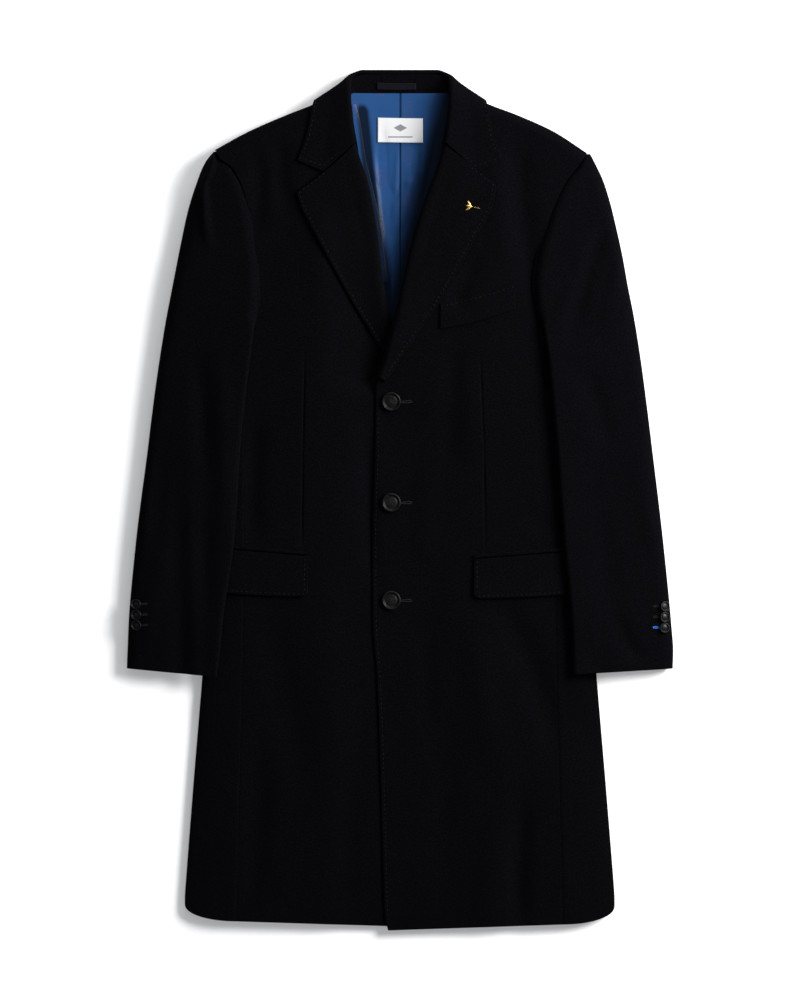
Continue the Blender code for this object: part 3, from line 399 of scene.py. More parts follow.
SLEEVE_CREASES = {
    LEFT: (
        Crease(262, 352, 214, 200, -2.6, 9, 5),
        Crease(242, 318, 200, 214, 1.4, 9, 3),
        Crease(304, 318, 288, 184, -1.8, 10, -4),
        Crease(284, 330, 262, 214, 1.3, 9, 2),
        Crease(230, 170, 262, 62, -1.9, 12, -4),
        Crease(268, 60, 232, -20, -1.5, 12, 4),
        Crease(300, 60, 322, -70, 1.2, 11, 3),
        Crease(262, -40, 268, -150, -1.3, 14, -4),
        Crease(274, -140, 306, -206, -2.4, 7, 6),
        Crease(246, -100, 250, -200, 1.2, 12, 0),
    ),
    RIGHT: (
        Crease(236, 441, 247, 400, 3.6, 3.6, 3),
        Crease(247, 412, 240, 316, 3.0, 4.0, -3),
        Crease(256, 400, 276, 290, -1.3, 9, -3),
        Crease(254, 182, 248, 40, -1.7, 8, 3),
        Crease(226, 190, 222, -60, 1.6, 9, 2),
        Crease(300, 90, 312, -60, -1.2, 10, 3),
        Crease(300, -60, 318, -190, 1.3, 9, -2),
        Crease(250, -20, 240, -150, -1.4, 11, -4),
        Crease(266, 10, 258, -120, 1.0, 7, 0),
    ),
}
UNDER_CREASES = (
    Crease(262, 380, 232, 250, -1.6, 11, 4),
    Crease(300, 160, 270, 20, -1.4, 12, -5),
    Crease(306, -20, 318, -180, 1.3, 13, 3),
)
BACK_CREASES = (
    Crease(60, 400, 96, 150, -1.5, 24, 6),
    Crease(-70, 380, -92, 120, -1.3, 22, -6),
    Crease(24, 60, 40, -300, -1.2, 20, 5),
    Crease(-34, -40, -22, -380, -1.4, 22, -4),
    Crease(128, -160, 150, -470, -1.5, 20, 5),
    Crease(-132, -120, -146, -480, -1.3, 21, -6),
    Crease(150, 300, 110, 220, -1.2, 15, 3),
    Crease(-150, 310, -118, 226, -1.2, 15, -3),
)
LAPEL_CREASES = {
    LEFT: (Crease(96, 372, 60, 300, 0.8, 16, 3), Crease(62, 420, 26, 300, -0.7, 9, 2)),
    RIGHT: (Crease(104, 372, 74, 300, 0.7, 16, -3), Crease(66, 420, 40, 310, -0.6, 9, 2)),
}
LINING_CREASES = (
    Crease(-22, 470, -14, 330, -1.1, 6, 3),
    Crease(-36, 440, -24, 300, 0.9, 5, -2),
    Crease(20, 450, 12, 320, -1.2, 6, -3),
    Crease(34, 470, 26, 380, 0.9, 5, 2),
    Crease(-2, 450, -6, 360, 0.5, 3.5, 1),
    Crease(8, 400, -12, 372, -0.9, 4, 1),
    Crease(-30, 402, -4, 380, -0.8, 4, -2),
    Crease(14, 350, -10, 330, -0.7, 4, 1),
    Crease(28, 418, 6, 396, 0.7, 4, 1),
)
DARTS = {
    LEFT: (Crease(101.2, 181, 106.2, 59, -0.85, 1.1, 0), Crease(106.2, 62, 107.7, -64, -0.85, 1.1, 0)),
    RIGHT: (Crease(-120.4, 184, -122.6, 59, -0.85, 1.1, 0), Crease(-122.6, 62, -123.8, -62, -0.85, 1.1, 0)),
}


def ramp(value, low, high):
    """0 below low, 1 above high and a soft S between."""
    t = np.clip((value - low) / (high - low), 0, 1)
    return t * t * (3 - 2 * t)


def glide(rows, t):
    """The table's columns at line number t, smooth between lines and never past them."""
    rows = np.asarray(rows, float)
    t = np.asarray(t, float)
    steps = np.diff(rows, axis=0)
    product = steps[:-1] * steps[1:]
    total = steps[:-1] + steps[1:]
    slope = np.zeros_like(rows)
    slope[0] = steps[0]
    slope[-1] = steps[-1]
    slope[1:-1] = np.where(product > 0, 2 * product / np.where(total == 0, 1, total), 0)
    k = np.clip(np.floor(t).astype(int), 0, len(steps) - 1)
    f = (t - k)[..., None]
    inner = rows[k] + f * slope[k] + f * f * (3 * steps[k] - 2 * slope[k] - slope[k + 1])
    return inner + f**3 * (slope[k] + slope[k + 1] - 2 * steps[k])


def by_height(table, y, column):
    """A column of a table whose rows run down the coat, read at y."""
    ys = [row[1] for row in table]
    order = np.argsort(ys)
    return np.interp(y, np.array(ys)[order], np.array([row[column] for row in table])[order])


def loft(out, y):
    """Height of the fronts' outer face."""
    ys = [row.y for row in LOFT]
    centre, chest, side = (np.interp(y, ys, [getattr(row, name) for row in LOFT])
                           for name in ("centre", "chest", "side"))
    out = np.abs(out)
    inner = centre + (chest - centre) * ramp(out, 0, CHEST_OUT)
    return inner + (side - chest) * ramp(out, CHEST_OUT, SIDE_OUT)


def pressed(creases, x, y):
    """Lift of the cloth at x and y from these creases, each fading out at its ends."""
    total = np.zeros(np.broadcast(x, y).shape)
    depth = bpy.context.scene.overcoat_sizes.crease_depth
    for crease in creases:
        run_x, run_y = crease.end_x - crease.start_x, crease.end_y - crease.start_y
        length = math.hypot(run_x, run_y)
        along = ((x - crease.start_x) * run_x + (y - crease.start_y) * run_y) / length**2
        aside = ((x - crease.start_x) * run_y - (y - crease.start_y) * run_x) / length
        aside = aside - crease.bow * 4 * along * (1 - along)
        fade = ramp(along, -0.12, 0.3) * (1 - ramp(along, 0.7, 1.12))
        total += crease.lift * fade * np.exp(-((aside / crease.width) ** 2))
    return total * depth


def ripple(x, y, size, height, seed):
    """Gentle unevenness of cloth that was worn and pressed."""
    wave = np.sin(x / size + seed) * np.cos(y / (size * 1.7) + seed * 2.1)
    wave = wave + 0.6 * np.sin((x * 0.62 + y * 0.78) / (size * 0.8) + seed * 3.7)
    return height * (wave + 0.5 * np.sin((x * 0.8 - y * 0.6) / (size * 0.47) + seed * 5.3)) / 2.1


def front_height(side, out, y):
    """The right front lies lower where the left one laps over it, and lower still under the lapels."""
    x = side * out
    height = loft(out, y) + pressed(BODY_CREASES, x, y) + ripple(x, y, 46, 0.5, 1.3)
    if side == LEFT:
        return height
    crossing = ramp(y, 128, 160) * (1 - 0.6 * ramp(y, 240, 330))
    drop = FRONT_OVERLAP + (LAPEL_CROSSING - FRONT_OVERLAP) * crossing
    return height - drop * (1 - ramp(out, 38, 105)) * (1 - ramp(y, 330, 404))


def body_top(side, out, y):
    """Height of the laid body's upper face, down over its side fold."""
    seams = [Point(row.seam_out, row.seam_y) for row in FRONT[side][FIRST_SIDE_ROW:]]
    folds = [Point(row.fold_out, row.fold_y) for row in SIDE[side]]
    seam = by_height(seams, y, 0)
    fold = by_height(folds, y, 0)
    reach = np.clip((out - seam) / (fold - seam), 0, 1)
    high = front_height(side, np.minimum(out, seam), y)
    return np.where(out < fold, SIDE_ROLL + (high - SIDE_ROLL) * np.sqrt(1 - reach**2), 0)


def sleeve_rest(side, out, y):
    """What the sleeve lies on: the table, and the body's side below the armhole."""
    over = np.mean([body_top(side, out - shift, y) for shift in range(8, 41, 4)], axis=0)
    clearance = SLEEVE_CLEARANCE * ramp(over, 0, 6)
    return (over + clearance) * (1 - ramp(y, 212, 250))


def troughs(side, out, y):
    """Depth of the long troughs at a place on the top sleeve."""
    depth = np.zeros_like(out + y)
    for fold in TROUGHS:
        if fold.side != side:
            continue
        along = np.clip((y - fold.start_y) / (fold.end_y - fold.start_y), 0, 1)
        centre = fold.start_out + (fold.end_out - fold.start_out) * along
        depth += fold.depth * ramp(along, 0, 1) * np.exp(-(((out - centre) / fold.width) ** 2))
    return depth


def back_height(out, y):
    """Height of the back's outer face: the table, lifted where the collar leaf lies under it."""
    return COLLAR_UNDER_BACK * ramp(y, 425, 484) * (1 - ramp(out, 112, 126))


def stack(side, out, y, z):
    out, y, z = np.broadcast_arrays(out, y, z)
    return np.stack([side * out, y, z], axis=-1).astype(float)


def shoulder_wrap(side, along, turn):
    """A point on the rounded shoulder edge: along from the neck (0) to the sleeve head (1), and turn in
    degrees from facing the table (-90) to facing up (90)."""
    count = len(SHOULDER[side]) - 1
    line = glide(SHOULDER[side], along * count)
    ahead = glide(SHOULDER[side], (along + 0.01) * count)
    heading = ahead - line
    heading /= np.linalg.norm(heading, axis=-1, keepdims=True)
    base = back_height(line[..., 0], line[..., 1])
    radius = (loft(line[..., 0], line[..., 1]) - base) / 2
    turn = np.radians(turn)
    inward = radius * (1 - np.cos(turn))
    out = line[..., 0] + heading[..., 1] * inward
    y = line[..., 1] - heading[..., 0] * inward
    return stack(side, out, y, base + radius * (1 + np.sin(turn)))


def front_face(side):
    """u runs from the front edge to the outer seam, v from the shoulder seam (0) to the hem (1)."""
    table = FRONT[side]
    turns = 2

    def face(u, v):
        line = v * (len(table) + 1)
        turn = SHOULDER_SEAM_TURN + (90 - SHOULDER_SEAM_TURN) * line / turns
        wrap = shoulder_wrap(side, u, np.minimum(turn, 90))
        row = glide(table, np.maximum(line - turns, 0))
        out = row[..., 0] + (row[..., 2] - row[..., 0]) * u
        y = row[..., 1] + (row[..., 3] - row[..., 1]) * u
        panel = stack(side, out, y, front_height(side, out, y))
        return np.where((line < turns)[..., None], wrap, panel)

    return face, len(table) + 2


UNDERARM_TUCK = (-1.0, 12.0, -2.0, 12.0, 0.0, 12.0)


def side_face(side):
    """u runs from the front seam over the side fold to the back seam, v from the underarm to the hem."""
    front = FRONT[side][FIRST_SIDE_ROW:]
    table = [(f.seam_out, f.seam_y) + tuple(s) for f, s in zip(front, SIDE[side])]
    first = np.array(table[0])
    table.insert(0, tuple(first + UNDERARM_TUCK))

    def face(u, v):
        row = np.moveaxis(glide(table, v * (len(table) - 1)), -1, 0)
        seam_out, seam_y, fold_out, fold_y, back_out, back_y = row
        high = front_height(side, seam_out, seam_y)
        over = np.radians(90 * np.clip(u / 0.5, 0, 1))
        under = np.radians(90 + 90 * np.clip((u - 0.5) / 0.2, 0, 1))
        flat = np.clip((u - 0.7) / 0.3, 0, None)
        upper = u <= 0.5
        out = np.where(upper, seam_out + (fold_out - seam_out) * np.sin(over),
                       fold_out - SIDE_ROLL * (1 - np.sin(under)))
        out = out + (back_out - fold_out + SIDE_ROLL) * flat
        y = np.where(upper, fold_y + (seam_y - fold_y) * np.cos(over), fold_y) + (back_y - fold_y) * flat
        z = np.where(upper, SIDE_ROLL + (high - SIDE_ROLL) * np.cos(over), SIDE_ROLL * (1 + np.cos(under)))
        return stack(side, out, y, z)

    return face, len(table)


def back_face(side):
    """u runs from the centre seam to the side, v from the hem (0) to the neck and shoulder seams (1)."""
    seam = [(row.back_out, row.back_y) for row in reversed(SIDE[side])]
    armhole = [(row.under_out, row.under_y) for row in reversed(SLEEVE[side][2:ARMHOLE_ROWS])]
    table = seam + armhole
    neck = SHOULDER[side][0].out / SHOULDER[side][-1].out
    flat = len(table) - 1
    wraps = 4
    level = seam[-1][1]
    inset_y = armhole[-1][1]

    def top_line(u, turn):
        """Where the panel's last flat row or a row of the shoulder wrap lies."""
        along = np.clip((u - neck) / (1 - neck), 0, 1)
        wrap = shoulder_wrap(side, along, turn)
        stretch = (turn + 90) / (SHOULDER_SEAM_TURN + 90)
        out = SHOULDER[side][0].out * u / neck
        plain = stack(side, out, 503 + 14 * stretch, back_height(out, 503 + 14 * stretch))
        blend = ramp(u, neck * 0.55, neck)[..., None]
        return plain * (1 - blend) + wrap * blend

    def face(u, v):
        line = v * (flat + wraps)
        row = glide(table, np.minimum(line, flat))
        lowest = top_line(u, np.full_like(line, -90.0))
        rise = np.clip((row[..., 1] - level) / (inset_y - level), 0, 1)
        out = row[..., 0] * u
        y = row[..., 1] + (lowest[..., 1] - row[..., 1]) * rise * np.clip((1 - u) * 6, 0, 1)
        panel = stack(side, out, y, back_height(out, y))
        turn = -90 + (SHOULDER_SEAM_TURN + 90) * np.clip((line - flat) / wraps, 0, None)
        return np.where((line <= flat)[..., None], panel, top_line(u, np.maximum(turn, -90)))

    return face, flat + wraps + 1


def sleeve_section(side, row, u, upper):
    """A point of the sleeve's ring: u runs from the outer fold (0) over or under it to the inner edge (1)."""
    fold_out, fold_y, top_out, top_y, under_out, under_y, fold_high, inner_high = np.moveaxis(row, -1, 0)
    inner_out, inner_y = (top_out, top_y) if upper else (under_out, under_y)
    width = fold_out - inner_out
    roll = np.minimum(SLEEVE_TOP_ROLL if upper else SLEEVE_UNDER_ROLL, width * 0.42)
    inner_half = (inner_high - sleeve_rest(side, inner_out + 4, inner_y)) / 2
    inner_roll = np.minimum(roll, inner_half * 1.2)
    first = np.clip(u / 0.3, None, 1)
    last = np.clip((u - 0.7) / 0.3, 0, None)
    closing = 90 + (ARMHOLE_TURN - 90) * ramp(fold_y, 216, 262)
    start = np.radians(90 * first)
    end = np.radians(closing * last)
    middle = np.clip((u - 0.3) / 0.4, 0, 1)
    run = width - roll - inner_roll * np.sin(np.radians(closing))
    across = roll * (1 - np.cos(start)) + run * middle + inner_roll * np.sin(end)
    share = across / width
    out = fold_out - across
    y = fold_y + (inner_y - fold_y) * share
    rise = np.sin(start) * np.cos(end)
    high = fold_high + (inner_high - fold_high) * share
    if upper:
        high = high - troughs(side, out, y) + pressed(SLEEVE_CREASES[side], out, y)
        high = high + ripple(out * side, y, 33, 0.55, 2.4 + side)
    rest = sleeve_rest(side, out, y)
    middle_z = (rest + fold_high + (inner_high - fold_high) * share) / 2
    target = high if upper else rest
    return stack(side, out, y, middle_z + (target - middle_z) * rise)


def sleeve_face(side, upper):
    table = SLEEVE[side]

    def face(u, v):
        return sleeve_section(side, glide(table, v * (len(table) - 1)), u, upper)

    return face, len(table)


def rolled(outer, inner, edge_turn, normal, radius, u, hook):
    """A cloth edge rolled back on itself. u runs from the outer edge (0) to the roll (0.6), round it (0.85)
    and along the part turned under (1)."""
    heading = inner - outer
    length = np.linalg.norm(heading, axis=-1, keepdims=True)
    heading = heading / length
    centre = inner - heading * radius
    across = np.clip(u / 0.6, None, 1)[..., None]
    turn = np.radians(90 - 180 * np.clip((u - 0.6) / 0.25, 0, 1))[..., None]
    back = np.clip((u - 0.85) / 0.15, 0, None)[..., None]
    arc = centre + radius * (np.cos(turn) * heading + np.sin(turn) * normal) - heading * hook * back
    crown = centre + radius * normal
    flat = edge_turn + (crown - edge_turn) * across
    return np.where((u <= 0.6)[..., None], flat, arc)


def lapel_face(side):
    """v runs from the gorge seam to the break."""
    table = LAPEL[side]

    def face(u, v):
        row = glide(table, v * (len(table) - 1))
        edge = row[..., 0:2]
        roll = row[..., 2:4]
        bow = LAPEL_TOP_BOW[side] * np.clip(1 - v * 9, 0, 1)
        length = np.linalg.norm(roll - edge, axis=-1)
        size = ramp(length, 4, 40)
        back = (edge - roll) / length[..., None]
        places = [roll + back * reach for reach in (0, 4, 8, 12, 16)]
        under = np.min([front_height(side, p[..., 0], p[..., 1]) for p in places], axis=0)
        under = under - MELTON - HOOK_GAP - FACING
        over = front_height(side, roll[..., 0], roll[..., 1]) + LAPEL_LIFT + LAPEL_CROWN * size
        radius = np.minimum((over - under) / 2, length * 0.44)[..., None]
        zero = np.zeros_like(length)
        up = np.stack([zero, zero, zero + 1], axis=-1)
        inner = np.stack([roll[..., 0], roll[..., 1], over - radius[..., 0]], axis=-1)
        outer = np.stack([edge[..., 0], edge[..., 1], over - radius[..., 0]], axis=-1)
        points = rolled(outer, inner, outer, up, radius, u, LAPEL_HOOK * size[..., None])
        share = np.clip(u / 0.6, None, 1)
        bowed = points[..., 1] + 4 * bow * share * (1 - share)
        lift = LAPEL_LIFT + LAPEL_CROWN * size * ramp(share, 0, 1)
        lying = front_height(side, points[..., 0], bowed) + lift
        lying = lying + pressed(LAPEL_CREASES[side], points[..., 0], bowed)
        blend = ramp(share, 0.75, 1)
        z = np.where(u <= 0.6, lying * (1 - blend) + over * blend, points[..., 2])
        return stack(side, points[..., 0], bowed, z)

    return face, len(table)


def leaf_face():
    """v runs from the left front end (0) round the back to the right front end (1)."""
    last = len(LEAF) - 1

    def face(u, v):
        line = np.abs(v * 2 - 1) * last
        side = np.where(v <= 0.5, LEFT, RIGHT)
        row = glide(LEAF, last - line)
        roll, mid, edge = row[..., 0:3], row[..., 3:6], row[..., 6:9]
        turn = np.radians(row[..., 9])
        radius = row[..., 10:11]
        heading = (roll - edge) * (1, 1, 0)
        heading = heading / np.linalg.norm(heading, axis=-1, keepdims=True)
        zero = np.zeros_like(turn)
        outward = np.stack([-heading[..., 1], heading[..., 0], zero], axis=-1)
        outward = outward * np.where(outward[..., 1:2] < 0, -1, 1)
        up = np.stack([zero, zero, zero + 1], axis=-1)
        normal = np.cos(turn)[..., None] * up + np.sin(turn)[..., None] * outward
        centre = roll - heading * radius
        crown = centre + radius * normal
        first = np.clip(u / 0.3, 0, 1)[..., None]
        second = np.clip((u - 0.3) / 0.3, 0, 1)[..., None]
        flat = edge + (mid - edge) * first + (crown - mid) * second
        angle = np.radians(90 - 180 * np.clip((u - 0.6) / 0.25, 0, 1))[..., None]
        back = np.clip((u - 0.85) / 0.15, 0, None)[..., None] * LEAF_RETURN
        arc = centre + radius * (np.cos(angle) * heading + np.sin(angle) * normal) - heading * back
        point = np.where((u <= 0.6)[..., None], flat, arc)
        return np.stack([side * point[..., 0], point[..., 1], point[..., 2]], axis=-1)

    return face


def stand_face(u, v):
    """u runs up the band, v from the wearer's left end round to the right end."""
    last = len(STAND) - 1
    row = glide(STAND, np.abs(v * 2 - 1) * last)
    point = row[..., 0:3] + (row[..., 3:6] - row[..., 0:3]) * u[..., None]
    side = np.where(v <= 0.5, LEFT, RIGHT)
    return np.stack([side * point[..., 0], point[..., 1], point[..., 2]], axis=-1)


def lining_height(x, y):
    flat = back_height(np.abs(x), y) + MELTON + LINING_ABOVE_BACK + LINING + LINING_SIDE_RISE * (x / 62) ** 2
    return flat + np.maximum(pressed(LINING_CREASES, x, y), -0.8)


def back_lining_face(side):
    def face(u, v):
        row = glide(BACK_LINING, v * (len(BACK_LINING) - 1))
        out = row[..., 1] * u
        return stack(side, out, row[..., 0], lining_height(side * out, row[..., 0]))

    return face, len(BACK_LINING)


def front_lining_face(side):
    table = FRONT_LINING[side]

    def face(u, v):
        row = glide(table, v * (len(table) - 1))
        out = row[..., 1] + (row[..., 3] - row[..., 1]) * u
        z = row[..., 2] + (row[..., 4] - row[..., 2]) * u**2
        return stack(side, out, row[..., 0], z)

    return face, len(table)


def patch_face(name, ground, thickness):
    """A piece lying on a panel: u from start to end, v from its top edge to its lower edge."""
    patch = PATCHES[name]

    def face(u, v):
        x = patch.start_x + (patch.end_x - patch.start_x) * u
        bend = 4 * u * (1 - u)
        top = patch.top_start + (patch.top_end - patch.top_start) * u + patch.top_bow * bend
        low = patch.low_start + (patch.low_end - patch.low_start) * u + patch.low_bow * bend
        if patch.corner:
            left = np.clip(patch.corner - np.abs(x - patch.start_x), 0, patch.corner)
            low = low + patch.corner - np.sqrt(patch.corner**2 - left**2)
        y = top + (low - top) * v
        at_edge, all_over = PATCH_STAND[name]
        stand = all_over + at_edge * np.clip(v, 0, 1) ** 2
        return stack(LEFT, x, y, ground(x, y) + SEAM_GAP + thickness + stand)

    return face


def on_body(x, y):
    return np.where(x > 0, body_top(LEFT, x, y), body_top(RIGHT, -x, y))


def on_lining(x, y):
    return lining_height(x, y) + 0.5


def on_stand(x, y):
    rows = np.array([[row.seam_out, row.seam_z, row.top_z] for row in STAND])
    seam = np.interp(np.abs(x), rows[:, 0], rows[:, 1])
    top = np.interp(np.abs(x), rows[:, 0], rows[:, 2])
    return np.maximum(seam, top) + 0.3


class OvercoatSizes(bpy.types.PropertyGroup):
    """Sizes that a user would change."""

    cloth: FloatProperty(name="Melton", description="Thickness of the wool", default=MELTON * MM,
                         unit="LENGTH")
    cell: FloatProperty(name="Cell", description="Distance between mesh lines", default=0.0042, unit="LENGTH")
    crease_depth: FloatProperty(name="Creases", description="Depth of the creases, as a share", default=2.0)
    tuck: FloatProperty(name="Tuck", description="Depth of the seam allowance under the armhole",
                        default=0.004, unit="LENGTH")
    edge_round: FloatProperty(name="Edge", description="Roundness of the pressed edges", default=0.0011,
                              unit="LENGTH")
    stitch_pitch: FloatProperty(name="Pick pitch", description="Distance between pick stitches",
                                default=0.0058, unit="LENGTH")
    stitch_length: FloatProperty(name="Pick length", description="Length of a pick stitch",
                                 default=0.0026, unit="LENGTH")
    stitch_inset: FloatProperty(name="Pick inset", description="Distance of the pick stitches from the edge",
                                default=0.0042, unit="LENGTH")
    thread: FloatProperty(name="Thread", description="Thickness of the sewing thread", default=0.0005,
                          unit="LENGTH")
    camera_height: FloatProperty(name="Camera", description="Height of the camera", default=7.0,
                                 unit="LENGTH")


def colour_property(name, words, value):
    return FloatVectorProperty(name=name, description=words, default=value, subtype="COLOR", size=3, min=0,
                               max=1)


class OvercoatColours(bpy.types.PropertyGroup):
    """Colours that a user would change."""

    wool: colour_property("Wool", "Dark navy of the melton", (0.0005, 0.0005, 0.0007))
    nap: colour_property("Nap", "Paler tips of the wool's fibres", (0.0042, 0.0044, 0.0058))
    lining: colour_property("Lining", "Royal blue of the lining", (0.0105, 0.04, 0.118))
    motif: colour_property("Motif", "Dusky outline of the lining's motif", (0.045, 0.025, 0.06))
    label: colour_property("Label", "White of the woven label", (0.37, 0.37, 0.375))
    label_edge: colour_property("Label edge", "Grey of the label's weave", (0.06, 0.06, 0.07))
    loop: colour_property("Loop", "Satin of the hanger loop", (0.0007, 0.0007, 0.0018))
    horn: colour_property("Horn", "Dark horn of the buttons", (0.0018, 0.0018, 0.002))
    gilt: colour_property("Gilt", "Gold colour of the pin", (0.83, 0.56, 0.22))
    thread: colour_property("Thread", "Navy sewing thread", (0.0019, 0.002, 0.003))
    bright_thread: colour_property("Bright thread", "Blue thread of the last buttonhole", (0.012, 0.08, 0.3))
    floor: colour_property("Floor", "Pale floor", (0.6, 0.6, 0.6))


class Value:
    """A shader socket that adds Math nodes when it is used in an expression."""

    def __init__(self, paint, socket):
        self.paint = paint
        self.socket = socket

    def math(self, operation, *others):
        values = {index: other for index, other in enumerate((self, *others))}
        return self.paint.node("ShaderNodeMath", {"operation": operation}, values)

    def __add__(self, other):
        return self.math("ADD", other)

    def __sub__(self, other):
        return self.math("SUBTRACT", other)

    def __rsub__(self, other):
        return self.math("MULTIPLY_ADD", -1.0, other)

    def __mul__(self, other):
        return self.math("MULTIPLY", other)

    def __truediv__(self, other):
        return self.math("DIVIDE", other)

    def __pow__(self, other):
        return self.math("POWER", other)

    def __lt__(self, other):
        return self.math("LESS_THAN", other)

    def __gt__(self, other):
        return self.math("GREATER_THAN", other)

    __radd__ = __add__
    __rmul__ = __mul__


class Paint:
    """The node tree of one material."""

    def __init__(self, name):
        self.material = bpy.data.materials.new(name)
        self.material.use_nodes = True
        self.tree = self.material.node_tree
        self.shader = self.tree.nodes["Principled BSDF"]

    def put(self, socket, value):
        if isinstance(value, Value):
            self.tree.links.new(value.socket, socket)
        elif hasattr(value, "__len__") and socket.type == "RGBA":
            socket.default_value = (*value[:3], 1)
        else:
            socket.default_value = value

    def node(self, kind, settings=None, values=None, output=0):
        """Adds a node with its settings and the values or links of its sockets, and gives its output."""
        made = self.tree.nodes.new(kind)
        for key, setting in (settings or {}).items():
            if key == "stops":
                for stop, (place, shade) in zip(made.color_ramp.elements, setting):
                    stop.position = place
                    stop.color = (shade, shade, shade, 1)
            else:
                setattr(made, key, setting)
        for key, value in (values or {}).items():
            self.put(made.inputs[key], value)
        return Value(self, made.outputs[output])

    def place(self, kind="Object", scale=(1, 1, 1), turn=0.0):
        """Coordinates in metres, of the object or of the cloth's own map, stretched and turned."""
        source = self.node("ShaderNodeTexCoord", output=kind)
        return self.node("ShaderNodeMapping", {}, {"Vector": source, "Scale": scale,
                                                   "Rotation": (0, 0, turn)})

    def noise(self, size, detail=2.0, roughness=0.5, kind="Object", stretch=(1, 1, 1), turn=0.0):
        """Noise whose lumps are this size in metres."""
        return self.node("ShaderNodeTexNoise", {}, {
            "Vector": self.place(kind, stretch, turn), "Scale": 1 / size, "Detail": detail,
            "Roughness": roughness})

    def ramp(self, value, low, high):
        return self.node("ShaderNodeMapRange", {"interpolation_type": "SMOOTHSTEP"},
                         {"Value": value, "From Min": low, "From Max": high})

    def mix(self, factor, first, second):
        return self.node("ShaderNodeMix", {"data_type": "RGBA"}, {0: factor, 6: first, 7: second}, output=2)

    def parts(self, vector):
        return [self.node("ShaderNodeSeparateXYZ", {}, {0: vector}, output=axis) for axis in range(3)]

    def finish(self, height=None, distance=0.0, strength=1.0, **values):
        """Sets the shader's sockets, and a bump of this many metres from the height."""
        for key, value in values.items():
            self.put(self.shader.inputs[key.replace("_", " ").title().replace("Ior", "IOR")], value)
        if height is not None:
            self.put(self.shader.inputs["Normal"], self.node("ShaderNodeBump", {}, {
                "Height": height, "Distance": distance, "Strength": strength}))
        return self.material


def colours():
    return bpy.context.scene.overcoat_colours


def sizes():
    return bpy.context.scene.overcoat_sizes


def wool_melton():
    """Milled wool: a matted felt of fine fibres with paler tips, brushed down the coat."""
    paint = Paint("coat_wool_melton")
    fibres = paint.noise(0.0017, 3.0, 0.75, kind="UV", stretch=(1.2, 0.85, 1))
    felt = paint.noise(0.003, 3.0, 0.6)
    cloud = paint.noise(0.03, 3.0, 0.55, stretch=(1, 0.7, 1))
    tips = paint.ramp(fibres * 0.82 + felt * 0.18, 0.36, 0.73)
    worn = paint.ramp(cloud, 0.35, 0.7)
    shade = paint.mix(tips * (0.46 + 0.07 * worn), colours().wool, colours().nap)
    rough = 0.86 + 0.1 * felt
    return paint.finish(fibres * 0.8 + felt * 0.35, 0.0007, 0.8, base_color=shade, roughness=rough,
                        sheen_weight=0.01, sheen_roughness=0.4, sheen_tint=(0.62, 0.72, 1.0),
                        specular_ior_level=0.008)


# The lining's motif, in metres: the spacing of its columns and rows, and the half axes of its two ovals.
MOTIF_COLUMN = 0.034
MOTIF_ROW = 0.058
MOTIF_OUTER = (0.0052, 0.0105)
MOTIF_INNER = (0.0022, 0.0052)
# The level, from the anchor, that the lining's painted shade is placed from, and the band of painted shadow
# beside the roll, where the gap between the linings lies in shade.
LINING_LEVEL = 0.42
PAINTED_SHADOW_WIDTH = 0.0078
PAINTED_SHADOW_WIDENS = -0.06
PAINTED_SHADOW_PLACE = 0.0399
PAINTED_SHADOW_LEAN = 0.107
SHADE_DEPTH = 0.93
SHADE_FLOOR = 0.04


